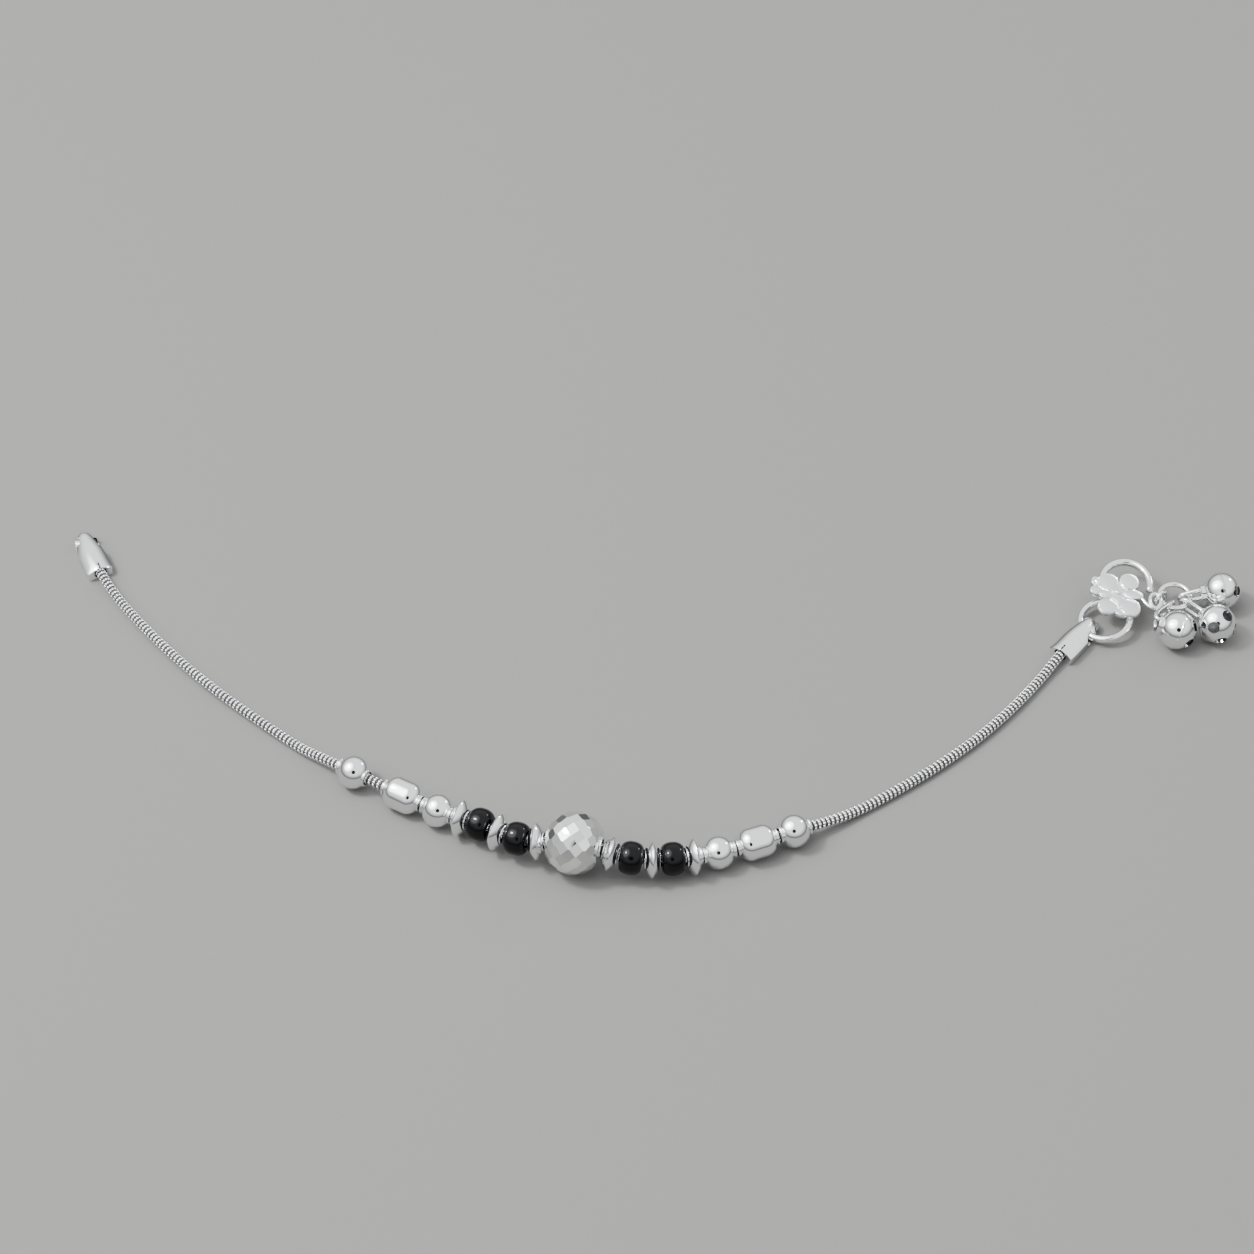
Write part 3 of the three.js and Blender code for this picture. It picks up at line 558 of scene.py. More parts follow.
def along_line(station):
    """The point and the direction of the chain at a length from its left end."""
    ends = len(lengths) - 1
    step = max(next(i for i, length in enumerate(lengths) if length >= station or i == ends), 1)
    share = (station - lengths[step - 1]) / (lengths[step] - lengths[step - 1])
    spot = line[step - 1].lerp(line[step], share)
    low, high = max(step - HEADING_REACH, 0), min(step + HEADING_REACH, ends)
    return spot, (line[high] - line[low]).normalized()


print("chain in mm:", round(lengths[-1], 1), "big ball at", round(centre_station, 1))

# %% [markdown]
# Snake chain is woven from narrow plates that interlock in staggered rows, so it looks ribbed.
# There are thousands of them, all alike: a job for Geometry Nodes. The tree below makes one plate,
# sets a ring of them, and puts a ring on the line every fraction of a millimetre. One ring stands
# out as a bright rib. The next has smaller plates, lies lower, is turned by half a plate and is
# painted dark: a painted shade between the ribs. A core painted dark fills the middle, a painted
# shade so that the gaps read as depth.

# %% Snake chain
ROW_PITCH = 0.465
SCALES_ROUND = 8
SCALE_RING_RADIUS = 0.80
PLATE_SEGMENTS = 6
PLATE_RINGS = 4
RIB_SIZE = (0.25, 0.40, 0.30)
FILL_SIZE = (0.20, 0.26, 0.24)
FILL_SUNK = 0.12
SCALE_LEAN_DEG = 9
CORE_RADIUS = 0.70
CORE_SIDES = 12
# Marks the sunk plates that are painted dark as painted shade.
PAINTED_SHADE_MARK = "lower_painted_shade"


def scale_ring(tree, group_in, plate_size, sunk, half_turn):
    """One ring of plates. Those of a sunk ring lie lower and are marked for the painted shade."""
    plate = add_node(tree, "GeometryNodeMeshUVSphere", {
        "Segments": PLATE_SEGMENTS, "Rings": PLATE_RINGS, "Radius": 1})
    lay = add_node(tree, "GeometryNodeTransform", {
        "Scale": [size * MM for size in plate_size],
        "Rotation": (math.radians(SCALE_LEAN_DEG), 0, 0)})
    deep = add_node(tree, "ShaderNodeMath", {1: sunk * MM}, operation="SUBTRACT")
    circle = add_node(tree, "GeometryNodeMeshCircle", {"Vertices": SCALES_ROUND})
    index = add_node(tree, "GeometryNodeInputIndex")
    turn = add_node(tree, "ShaderNodeMath", {1: 2 * math.pi / SCALES_ROUND}, operation="MULTIPLY")
    euler = add_node(tree, "ShaderNodeCombineXYZ")
    spread = add_node(tree, "GeometryNodeInstanceOnPoints")
    realize = add_node(tree, "GeometryNodeRealizeInstances")
    mark = add_node(
        tree, "GeometryNodeStoreNamedAttribute", {"Name": PAINTED_SHADE_MARK, "Value": sunk > 0},
        data_type="BOOLEAN", domain="FACE")
    stagger = add_node(tree, "GeometryNodeTransform", {"Rotation": (0, 0, half_turn)})
    link = tree.links.new
    in_a_row(tree, plate, lay)
    link(lay.outputs["Geometry"], spread.inputs["Instance"])
    in_a_row(tree, index, turn)
    link(turn.outputs["Value"], euler.inputs["Z"])
    link(euler.outputs["Vector"], spread.inputs["Rotation"])
    link(group_in.outputs["Ring radius"], deep.inputs[0])
    link(deep.outputs["Value"], circle.inputs["Radius"])
    in_a_row(tree, circle, spread, realize, mark, stagger)
    return stagger


def snake_tree():
    tree = bpy.data.node_groups.new("snake_chain_scales", "GeometryNodeTree")
    new_socket = tree.interface.new_socket
    new_socket("Geometry", in_out="INPUT", socket_type="NodeSocketGeometry")
    for name in ("Row pitch", "Ring radius", "Core radius"):
        new_socket(name, in_out="INPUT", socket_type="NodeSocketFloat")
    new_socket("Geometry", in_out="OUTPUT", socket_type="NodeSocketGeometry")
    group_in = add_node(tree, "NodeGroupInput")
    group_out = add_node(tree, "NodeGroupOutput")
    curve = add_node(tree, "GeometryNodeMeshToCurve")
    rows = add_node(tree, "GeometryNodeCurveToPoints", mode="LENGTH")
    first = scale_ring(tree, group_in, RIB_SIZE, 0, 0)
    second = scale_ring(tree, group_in, FILL_SIZE, FILL_SUNK, math.pi / SCALES_ROUND)
    both = add_node(tree, "GeometryNodeGeometryToInstance")
    index = add_node(tree, "GeometryNodeInputIndex")
    odd = add_node(tree, "ShaderNodeMath", {1: 2}, operation="MODULO")
    place = add_node(tree, "GeometryNodeInstanceOnPoints", {"Pick Instance": True})
    scales = add_node(tree, "GeometryNodeRealizeInstances")
    paint_scales = add_node(tree, "GeometryNodeSetMaterial", {"Material": chain_silver})
    # The sunk plates and the core are painted dark: a painted shade between the ribs.
    lower = add_node(
        tree, "GeometryNodeInputNamedAttribute", {"Name": PAINTED_SHADE_MARK}, data_type="BOOLEAN")
    paint_shade_lower = add_node(tree, "GeometryNodeSetMaterial", {"Material": shade_painted_silver})
    round_section = add_node(tree, "GeometryNodeCurvePrimitiveCircle", {"Resolution": CORE_SIDES})
    core = add_node(tree, "GeometryNodeCurveToMesh", {"Fill Caps": True})
    paint_shade_core = add_node(tree, "GeometryNodeSetMaterial", {"Material": shade_painted_silver})
    join = add_node(tree, "GeometryNodeJoinGeometry")
    shade = add_node(tree, "GeometryNodeSetShadeSmooth")
    link = tree.links.new
    link(group_in.outputs["Row pitch"], rows.inputs["Length"])
    link(second.outputs["Geometry"], both.inputs["Geometry"])
    link(first.outputs["Geometry"], both.inputs["Geometry"])
    link(both.outputs["Instances"], place.inputs["Instance"])
    in_a_row(tree, index, odd)
    link(odd.outputs["Value"], place.inputs["Instance Index"])
    link(rows.outputs["Rotation"], place.inputs["Rotation"])
    link(lower.outputs["Attribute"], paint_shade_lower.inputs["Selection"])
    link(group_in.outputs["Core radius"], round_section.inputs["Radius"])
    link(round_section.outputs["Curve"], core.inputs["Profile Curve"])
    in_a_row(tree, curve, core, paint_shade_core, join)
    in_a_row(tree, group_in, curve, rows, place, scales, paint_scales, paint_shade_lower, join)
    in_a_row(tree, join, shade, group_out)
    return tree


def make_chain():
    mesh = bpy.data.meshes.new("snake_chain_fine")
    spots = [spot * MM for spot in line]
    mesh.from_pydata(spots, [(i, i + 1) for i in range(len(spots) - 1)], [])
    chain = add_object("snake_chain_fine", mesh)
    tree = snake_tree()
    weave = chain.modifiers.new("weave", "NODES")
    weave.node_group = tree
    sizes = {"Row pitch": ROW_PITCH, "Ring radius": SCALE_RING_RADIUS, "Core radius": CORE_RADIUS}
    for socket in tree.interface.items_tree:
        if socket.in_out == "INPUT" and socket.name in sizes:
            weave[socket.identifier] = sizes[socket.name] * MM
    bake_modifiers(chain)
    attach(chain, "root")
    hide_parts("snake_chain")
    print("chain faces:", len(chain.data.polygons))


make_chain()

# %% [markdown]
# The small beads are thin metal turned and rolled over at the ends, or pressed glass. Each is one
# closed profile turned round the chain: out of the hole, round a rolled lip, over the body and back
# in. A profile is the natural way to draw them, because every ring on them comes for free.

# %% Small beads
BEAD_SIDES = 64
HOLE_RADIUS = 1.28
BALL_LENGTH = 6.2
CAPSULE_RADIUS = 3.1
CAPSULE_LENGTH = 8.0
CAPSULE_STRAIGHT = 2.6
LIP = 0.2
LIP_FROM_DEG = -80
LIP_STEP_DEG = 17
NECK_RADIUS = 1.5
NECK_TUCK = 0.05
BULGE_STEPS = 20
BICONE_RADIUS = 3.5
BICONE_LENGTH = 2.9
BICONE_HUB_RADIUS = 1.9
BICONE_SHOULDER = 0.30
BICONE_SWELL = 0.12
BICONE_RING = 0.20
BICONE_RIM = 0.06
BICONE_STEPS = 10
BLACK_RADIUS = 3.1
BLACK_LENGTH = 4.2
BLACK_END_RADIUS = 1.75
BLACK_RIM = 0.12
BLACK_TURN_DEG = 83
BLACK_STEPS = 18
BLACK_EASE = 0.1
CENTRE_LENGTH = 10.2
GAP_LEFT = 0.35
GAP_RIGHT = 0.25
SHOWING_CHAIN = 3.7


def mirrored(upper):
    """A whole profile from its upper half, which runs from the middle out to the hole."""
    lower = [(radius, -along) for radius, along in reversed(upper) if along > 0]
    return lower + upper


def rolled_lip(half):
    middle = half - LIP
    lip = []
    for degrees in range(LIP_FROM_DEG, 91, LIP_STEP_DEG):
        angle = math.radians(degrees)
        lip.append((NECK_RADIUS + LIP * math.cos(angle), middle + LIP * math.sin(angle)))
    return lip + [(HOLE_RADIUS, half)]


def bulge(radius, straight, half):
    """The upper half of a ball, or of a capsule with a straight middle, down to its neck."""
    body = half - 2 * LIP + NECK_TUCK
    last = math.acos(NECK_RADIUS / radius)
    reach = (body - straight) / math.sin(last)
    angles = [last * step / BULGE_STEPS for step in range(BULGE_STEPS + 1)]
    return [(radius * math.cos(angle), straight + reach * math.sin(angle)) for angle in angles]


def ball_profile():
    half = BALL_LENGTH / 2
    return mirrored(bulge(BALL_RADIUS, 0, half) + rolled_lip(half))


def capsule_profile():
    half = CAPSULE_LENGTH / 2
    body = bulge(CAPSULE_RADIUS, CAPSULE_STRAIGHT / 2, half)
    return mirrored([(CAPSULE_RADIUS, 0)] + body + rolled_lip(half))


def bicone_profile():
    half = BICONE_LENGTH / 2
    rim = BICONE_RIM
    ring = BICONE_RING
    hub = BICONE_HUB_RADIUS
    shoulder = hub + BICONE_SHOULDER
    upper = [(BICONE_RADIUS, 0), (BICONE_RADIUS - rim / 2, rim)]
    for step in range(1, BICONE_STEPS + 1):
        share = step / BICONE_STEPS
        swell = BICONE_SWELL * math.sin(math.pi * share)
        radius = BICONE_RADIUS - rim + share * (shoulder - BICONE_RADIUS + rim)
        upper.append((radius + swell, rim * 2 + share * (half - ring - rim * 2)))
    upper += [(hub - ring / 4, half - 0.8 * ring), (hub, half - ring / 2), (hub - rim, half)]
    return mirrored(upper + [(HOLE_RADIUS, half)])


def black_profile():
    half = BLACK_LENGTH / 2
    end = BLACK_END_RADIUS
    hub = end + BLACK_RIM
    upper = [(BLACK_RADIUS, 0)]
    for step in range(1, BLACK_STEPS + 1):
        angle = math.radians(BLACK_TURN_DEG) * step / BLACK_STEPS
        across = hub + (BLACK_RADIUS - hub) * math.cos(angle)
        upper.append((across, BLACK_RIM + (half - 1.5 * BLACK_RIM) * math.sin(angle)))
    upper += [(end, half - BLACK_RIM / 4), (end - BLACK_EASE, half), (HOLE_RADIUS + BLACK_EASE, half)]
    return mirrored(upper + [(HOLE_RADIUS, half - BLACK_EASE)])


def string_bead(node, station, profile, slot, material):
    spot, heading = along_line(station)
    matrix = Matrix.Translation(spot * MM) @ heading.to_track_quat("Z", "Y").to_matrix().to_4x4()
    bead = new_piece(node + "_fine", *turned(profile, BEAD_SIDES, matrix))
    outward(bead)
    finish_piece(bead, node, slot, material)


STRUNG_OUTWARD = [
    ("bicone_3", "bicone_4", BICONE_LENGTH, bicone_profile()),
    ("black_bead_2", "black_bead_3", BLACK_LENGTH, black_profile()),
    ("bicone_2", "bicone_5", BICONE_LENGTH, bicone_profile()),
    ("black_bead_1", "black_bead_4", BLACK_LENGTH, black_profile()),
    ("bicone_1", "bicone_6", BICONE_LENGTH, bicone_profile()),
    ("inner_ball_left", "inner_ball_right", BALL_LENGTH, ball_profile()),
    ("capsule_left", "capsule_right", CAPSULE_LENGTH, capsule_profile()),
    ("outer_ball_left", "outer_ball_right", BALL_LENGTH, ball_profile()),
]


def string_side(column, direction, gap, last_gap):
    reached = CENTRE_LENGTH / 2
    for place, row in enumerate(STRUNG_OUTWARD):
        node, length, profile = row[column], row[2], row[3]
        before = last_gap if place == len(STRUNG_OUTWARD) - 1 else gap
        station = reached + before + length / 2
        glass = node.startswith("black")
        slot, material = ("black_glass", black_glass) if glass else ("polished_silver", polished_silver)
        string_bead(node, centre_station + direction * station, profile, slot, material)
        reached = station + length / 2


string_side(0, -1, GAP_LEFT, SHOWING_CHAIN)
string_side(1, 1, GAP_RIGHT, GAP_RIGHT)
print("small beads:", 2 * len(STRUNG_OUTWARD))

# %% [markdown]
# The middle bead is cut in flat facets, and its solid already has every plane in the right place.
# What a solid lacks is the tiny rounding that a polisher leaves on each edge, and it is this line
# of light that makes facets sparkle. So a copy of the solid is merged, its coplanar triangles are
# dissolved into whole facets, and every edge gets a very narrow bevel. Its silver has a painted
# reflection: a tone painted for each facet's direction, standing in for the small differences that
# a real room's reflection shows in each of them.

# %% Faceted ball
FACET_BEVEL = 0.10
MERGE_WITHIN = 0.002
FLAT_BELOW = math.radians(1.5)
SHARP_ABOVE = math.radians(5)


def make_faceted_ball():
    shape = bmesh.new()
    shape.from_mesh(nodes["central_ball"].data)
    bmesh.ops.remove_doubles(shape, verts=shape.verts, dist=MERGE_WITHIN * MM)
    bmesh.ops.dissolve_limit(
        shape, angle_limit=FLAT_BELOW, verts=shape.verts, edges=shape.edges)
    sharp = [edge for edge in shape.edges if edge.calc_face_angle(0) > SHARP_ABOVE]
    bmesh.ops.bevel(
        shape, geom=sharp, offset=FACET_BEVEL * MM, segments=2, profile=0.5, affect="EDGES",
        clamp_overlap=True)
    mesh = bpy.data.meshes.new("central_ball_fine")
    shape.to_mesh(mesh)
    shape.free()
    ball = add_object("central_ball_fine", mesh)
    finish_piece(ball, "central_ball", "polished_silver", painted_reflection_faceted_silver)
    print("faceted ball faces:", len(mesh.polygons))


make_faceted_ball()

# %% [markdown]
# The end caps are pressed from sheet: a flat back, upright sides, a crowned top that narrows to the
# tip, and a crimped mouth that grips the chain. A loft does this well, because a cap is only a
# handful of sections, each a little narrower than the last. The chain's hole, the crimp's slit and
# the eye for the ring are then cut through it, as a press would pierce them.

# %% End caps
CAP_LENGTH = 11.2
CAP_WIDTH = 5.2
CAP_HEIGHT = 3.1
CAP_CORNER = 0.35
CAP_CORNER_CUT = 0.1
CAP_CROWN_STEPS = 12
CAP_SHOULDER_SHARE = 0.62
CAP_CROWN_POWER = 1.9
CAP_CHAIN_DEPTH = 3.2
CAP_CHAIN_CLEAR = 2.9
CAP_EYE_INSET = 3.0
CAP_EYE_HEIGHT = 1.4
CAP_EYE_LENGTH = 3.1
CAP_EYE_TALL = 2.0
CAP_EYE_FORWARD = 0.3
CAP_SLIT = (3.0, 0.35, 3.1)
CAP_BORE = 1.3
CAP_EDGE = 0.09
CAP_EDGE_ABOVE = math.radians(30)
TOOL_SIDES = 32
RING_YAW = math.radians(27)
# Each section: its place along the cap, its width and its height, as shares of the cap's own.
CAP_SECTIONS = [
    (0.00, 0.90, 0.94),
    (0.05, 0.97, 0.98),
    (0.28, 1.00, 1.00),
    (0.55, 0.98, 0.98),
    (0.78, 0.86, 0.91),
    (0.94, 0.72, 0.82),
    (1.00, 0.62, 0.72),
]


def cap_section(along, wide, high):
    half = wide * CAP_WIDTH / 2
    top = high * CAP_HEIGHT
    shoulder = top * CAP_SHOULDER_SHARE
    cut = CAP_CORNER_CUT
    outline = [(half - CAP_CORNER, 0), (half - cut, cut), (half, CAP_CORNER)]
    for step in range(-CAP_CROWN_STEPS, CAP_CROWN_STEPS + 1):
        share = -step / CAP_CROWN_STEPS
        crown = 1 - abs(share) ** CAP_CROWN_POWER
        outline.append((half * share, shoulder + (top - shoulder) * crown))
    outline += [(-half, CAP_CORNER), (-half + cut, cut), (-half + CAP_CORNER, 0)]
    return [Vector((along * CAP_LENGTH, y, z)) for y, z in outline]


def cap_body(name, matrix):
    rings = [cap_section(*share) for share in smooth_line(CAP_SECTIONS, samples=5)]
    size = len(rings[0])
    points = [matrix @ (spot * MM) for ring in rings for spot in ring]
    last = len(points) - size
    faces = []
    for start in range(0, last, size):
        faces += band(start, start + size, size)
    faces += [tuple(reversed(range(size))), tuple(range(last, last + size))]
    cap = new_piece(name, points, faces)
    outward(cap)
    return cap


def box_tool(size, matrix):
    bpy.ops.mesh.primitive_cube_add(size=1)
    tool = bpy.context.object
    tool.data.transform(matrix @ Matrix.Diagonal((*[side * MM for side in size], 1)))
    return tool


def rod_tool(radius, length, matrix):
    bpy.ops.mesh.primitive_cylinder_add(
        vertices=TOOL_SIDES, radius=radius * MM, depth=length * MM)
    tool = bpy.context.object
    tool.data.transform(matrix)
    return tool


def shifted(x, y, z):
    return Matrix.Translation(Vector((x, y, z)) * MM)


def eye_tool(matrix):
    """A slanting slot with round ends, for the ring's wire."""
    middle = matrix @ shifted(CAP_LENGTH - CAP_EYE_INSET + CAP_EYE_FORWARD, 0, CAP_EYE_HEIGHT)
    slant = middle @ Matrix.Rotation(-RING_YAW, 4, "Z")
    straight = CAP_EYE_LENGTH - CAP_EYE_TALL
    slot = box_tool((straight, CAP_WIDTH + 2, CAP_EYE_TALL), slant)
    across = Matrix.Rotation(math.pi / 2, 4, "X")
    ends = [slant @ shifted(side * straight / 2, 0, 0) @ across for side in (-1, 1)]
    return [slot] + [rod_tool(CAP_EYE_TALL / 2, CAP_WIDTH + 2, end) for end in ends]


def make_cap(node, station, direction):
    end, heading = along_line(station)
    angle = math.atan2(direction * heading.y, direction * heading.x)
    back = on_circle(CAP_CHAIN_CLEAR, angle)
    place = shifted(end.x - back.x, end.y - back.y, frame_shift.z)
    matrix = place @ Matrix.Rotation(angle, 4, "Z")
    cap = cap_body(node + "_fine", matrix)
    hole = rod_tool(CAP_BORE, 2 * CAP_CHAIN_DEPTH, matrix @ shifted(0, 0, CAP_CHAIN_HEIGHT)
                    @ Matrix.Rotation(math.pi / 2, 4, "Y"))
    slit = box_tool(CAP_SLIT, matrix @ shifted(0, 0, CAP_CHAIN_HEIGHT + CAP_HEIGHT / 2))
    carve(cap, [hole, slit] + eye_tool(matrix))
    rounding = cap.modifiers.new("rounding", "BEVEL")
    rounding.width = CAP_EDGE * MM
    rounding.segments = 2
    rounding.limit_method = "ANGLE"
    rounding.angle_limit = CAP_EDGE_ABOVE
    rounding.harden_normals = True
    bake_modifiers(cap)
    finish_piece(cap, node, "polished_silver", cap_silver)
    return matrix, angle


make_cap("end_cap_left", 0, -1)
right_cap, right_cap_angle = make_cap("end_cap_right", lengths[-1], 1)
print("cap angle in degrees:", round(math.degrees(right_cap_angle), 1))

# %% [markdown]
# Rings are plain round wire, bent and soldered. The big ring leans on the cap's eye and rises to
# the clasp; the jump ring carries the bells. A wire swept round a circle gives them, with enough
# sides to reflect softboxes as smooth lines.

# %% Rings
RING_RADIUS = 4.7
RING_WIRE = 0.7
RING_TILT = math.radians(9)
JUMP_RADIUS = 2.95
JUMP_WIRE = 0.5
JUMP_TILT = math.radians(4)


def oval_path(radius_x, radius_y, steps):
    turns = [2 * math.pi * step / steps for step in range(steps)]
    return [Vector((radius_x * math.cos(angle), radius_y * math.sin(angle), 0)) for angle in turns]


def make_ring(node, radius_x, radius_y, wire, matrix, steps=72):
    loop = swept(oval_path(radius_x, radius_y, steps), wire, closed=True)
    ring = new_piece(node + "_fine", *gathered([loop], matrix))
    outward(ring)
    finish_piece(ring, node, "polished_silver", polished_silver)


ring_angle = right_cap_angle - RING_YAW
eye_place = right_cap @ (Vector((CAP_LENGTH - CAP_EYE_INSET, 0, CAP_EYE_HEIGHT)) * MM)
ring_start = (Matrix.Translation(eye_place) @ Matrix.Rotation(ring_angle, 4, "Z")
              @ Matrix.Rotation(-RING_TILT, 4, "Y"))
ring_matrix = ring_start @ shifted(RING_RADIUS, 0, 0)
make_ring("lower_ring", RING_RADIUS, RING_RADIUS, RING_WIRE, ring_matrix)
ring_middle = ring_matrix @ Vector((0, 0, 0))
ring_far_wire = ring_matrix @ (Vector((RING_RADIUS, 0, 0)) * MM)

jump_middle = box_centre("jump_ring")
jump_matrix = Matrix.Translation(jump_middle) @ Matrix.Rotation(JUMP_TILT, 4, "X")
make_ring("jump_ring", JUMP_RADIUS, JUMP_RADIUS, JUMP_WIRE, jump_matrix)
print("ring moved from solid by mm:", round((ring_middle - box_centre("lower_ring")).length / MM, 3))

# %% [markdown]
# The clasp is a small cast flower with its hook. Its front is a relief: satin petals, a bright
# raised rim all round, a few bright seams where petals overlap, and a seed near the centre. A
# relief is a height over a plane, so it is computed as one. The flower is seen from its centre as
# a star shape: for each direction the outermost petal gives the outline, and the surface is a fine
# fan from the centre to that outline. The faces on top of a rim or a seam are polished, because
# that is where such a casting is buffed, and the rest stays satin.

# %% Flower relief
CLASP_FROM_RING = (2.36, 4.17)
CLASP_TILT = math.radians(6)
FLOWER_THICKNESS = 0.85
FLOWER_DISC_RADIUS = 2.5
RIM_WIDTH = 0.16
RIM_RISE = 0.14
PETAL_DOME = 0.13
GROOVE_WIDTH = 0.16
GROOVE_SINK = 0.07
SEAM_WIDTH = 0.12
SEAM_RISE = 0.15
POLISHED_FROM = 0.4
# A knob or petal: the place of its middle, its half length and half width, and its turn in degrees.
KNOB = (0.15, 0.6, 0.75, 0.36, -40)
KNOB_RISE = 0.32
SEAMS = [
    [(-3.87, 3.46), (-3.19, 2.24), (-2.4, 1.45), (-1.32, 0.84)],
    [(1.03, 2.61), (1.52, 1.88), (2.1, 1.39), (3.28, 1.15), (4.17, 0.66), (4.75, 0.15)],
    [(1.23, -0.68), (2.4, -1.29), (3.58, -1.9)],
    [(-1.32, -1.17), (-0.44, -1.9), (0, -2.5), (0.15, -3.4)],
    [(0.44, -3.4), (1.03, -4.3)],
]
PETALS = [
    (-3.85, 3.3, 0.95, 1.15, 15),
    (-4.0, 1.25, 1.15, 1.05, 0),
    (-2.1, 0.35, 1.35, 1.1, 20),
    (0.55, -4.2, 1.3, 0.85, -15),
    (-1.95, -2.6, 1.95, 1.9, -15),
    (2.35, -3.1, 1.95, 2.1, 15),
    (3.15, 0.15, 2.0, 1.15, -12),
    (2.6, 3.1, 1.9, 2.05, 20),
    (-1.5, 3.25, 2.05, 1.95, -20),
]
FAN_ROUND = 288
FAN_RINGS = 64
EDGE_ROUND = 0.09
BACK_EDGE = 0.10
SEARCH_FROM = 6.2
SEARCH_STEP = 0.02
FAR = 99.0


def petal_share(petal, x, y):
    """0 at a petal's middle, 1 on its edge."""
    middle_x, middle_y, wide, tall, turn = petal
    angle = math.radians(turn)
    dx, dy = x - middle_x, y - middle_y
    along = dx * math.cos(angle) + dy * math.sin(angle)
    across = -dx * math.sin(angle) + dy * math.cos(angle)
    return math.hypot(along / wide, across / tall)


def outline_radius(angle):
    """How far the flower reaches in a direction: the farthest crossing of any petal's edge."""
    reach = SEARCH_FROM
    while reach > FLOWER_DISC_RADIUS:
        x, y = reach * math.cos(angle), reach * math.sin(angle)
        if any(petal_share(petal, x, y) <= 1 for petal in PETALS):
            return reach
        reach -= SEARCH_STEP
    return FLOWER_DISC_RADIUS


def ridge(distance, width):
    return math.exp(-((distance / width) ** 2))


def distance_to_seam(seam, x, y):
    spot = Vector((x, y))
    nearest = FAR
    for start, end in zip(seam, seam[1:]):
        start, end = Vector(start), Vector(end)
        along = end - start
        share = max(0, min(1, (spot - start).dot(along) / along.length_squared))
        nearest = min(nearest, (spot - start - share * along).length)
    return nearest


def rim_share(inset):
    """1 on top of the rim that runs along the outline, and 0 away from it."""
    return ridge(inset - RIM_WIDTH, RIM_WIDTH)


def seam_share(x, y):
    """1 on top of a seam, and 0 away from all of them."""
    return max(ridge(distance_to_seam(seam, x, y), SEAM_WIDTH) for seam in SEAMS)


def buffed(x, y, inset):
    return max(rim_share(inset), seam_share(x, y))


def relief(x, y, inset):
    """The height above the plate's plain top."""
    height = 0.0
    for petal in PETALS:
        share = petal_share(petal, x, y)
        inside = (1 - share) * min(petal[2], petal[3])
        if share < 1:
            height = PETAL_DOME * (1 - share ** 2)
        height -= GROOVE_SINK * ridge(inside, GROOVE_WIDTH)
    height += RIM_RISE * rim_share(inset) + SEAM_RISE * seam_share(x, y)
    seed = petal_share(KNOB, x, y)
    if seed < 1:
        height = max(height, KNOB_RISE * math.sqrt(1 - seed ** 2))
    return height


def smoothed(values):
    count = len(values)
    return [(values[i - 1] + 2 * values[i] + values[(i + 1) % count]) / 4 for i in range(count)]


def flower_plate():
    angles = [2 * math.pi * step / FAN_ROUND for step in range(FAN_ROUND)]
    reach = smoothed([outline_radius(angle) for angle in angles])
    points = [Vector((0, 0, FLOWER_THICKNESS + relief(0, 0, FLOWER_DISC_RADIUS)))]
    shine = [0]
    for row in range(1, FAN_RINGS + 1):
        for angle, radius in zip(angles, reach):
            size = (radius - EDGE_ROUND) * row / FAN_RINGS
            x, y = size * math.cos(angle), size * math.sin(angle)
            points.append(Vector((x, y, FLOWER_THICKNESS + relief(x, y, radius - size))))
            shine.append(buffed(x, y, radius - size))
    back = FLOWER_THICKNESS
    for drop, inset in ((BACK_EDGE, 0.0), (back - BACK_EDGE, 0.0), (back, BACK_EDGE)):
        for angle, radius in zip(angles, reach):
            points.append(on_circle(radius - inset, angle, FLOWER_THICKNESS - drop))
    points.append(Vector((0, 0, 0)))
    faces = [(0, 1 + step, 1 + (step + 1) % FAN_ROUND) for step in range(FAN_ROUND)]
    for row in range(FAN_RINGS + 2):
        start = 1 + row * FAN_ROUND
        for step in range(FAN_ROUND):
            beside = (step + 1) % FAN_ROUND
            below = start + FAN_ROUND
            faces.append((start + step, below + step, below + beside, start + beside))
    last = 1 + (FAN_RINGS + 2) * FAN_ROUND
    bottom = len(points) - 1
    faces += [(bottom, last + (step + 1) % FAN_ROUND, last + step) for step in range(FAN_ROUND)]
    polished = [max(face) < len(shine) and shine[face[1]] > POLISHED_FROM for face in faces]
    return points, faces, polished


# %% [markdown]
# The hook is round wire soldered behind the flower: it comes out under the upper left petal, goes
# over in an oval and stops just short of the eye, so that the other end of the anklet can slip on.
# A thinner stem runs from the right petal down to the eye that holds the small link, and a staple
# under the flower holds the big ring. All are wires, so all are sweeps.

# %% Clasp wires
HOOK_CENTRE = (2.09, 3.61)
HOOK_RADII = (4.65, 5.15)
HOOK_WIRE = 0.75
HOOK_DROP = 0.3
HOOK_START_DEG = 205
HOOK_END_DEG = -17
STEM_WIRE = 0.4
EYE_CENTRE = (7.34, -1.12)
EYE_RADII = (1.05, 1.7)
EYE_HEIGHT = 0.3
STEM_BENDS = [(3.6, 0.3), (4.8, -0.7), (5.55, -1.9), (6.4, -2.65), (7.34, -2.82)]
STAPLE_WIRE = 0.35
STAPLE_FOOT = 0.35
FLOWER_LIFT = 0.13
HOOK_STEPS = 60
LEG_STEPS = 6
BEND_STEPS = 16
PLAY = 0.3


def hook_wire():
    centre = Vector((*HOOK_CENTRE, -HOOK_DROP))
    path = []
    for step in range(HOOK_STEPS + 1):
        angle = math.radians(HOOK_START_DEG + (HOOK_END_DEG - HOOK_START_DEG) * step / HOOK_STEPS)
        across, up = HOOK_RADII[0] * math.cos(angle), HOOK_RADII[1] * math.sin(angle)
        path.append(centre + Vector((across, up, 0)))
    return swept(path, HOOK_WIRE, round_tip=True)


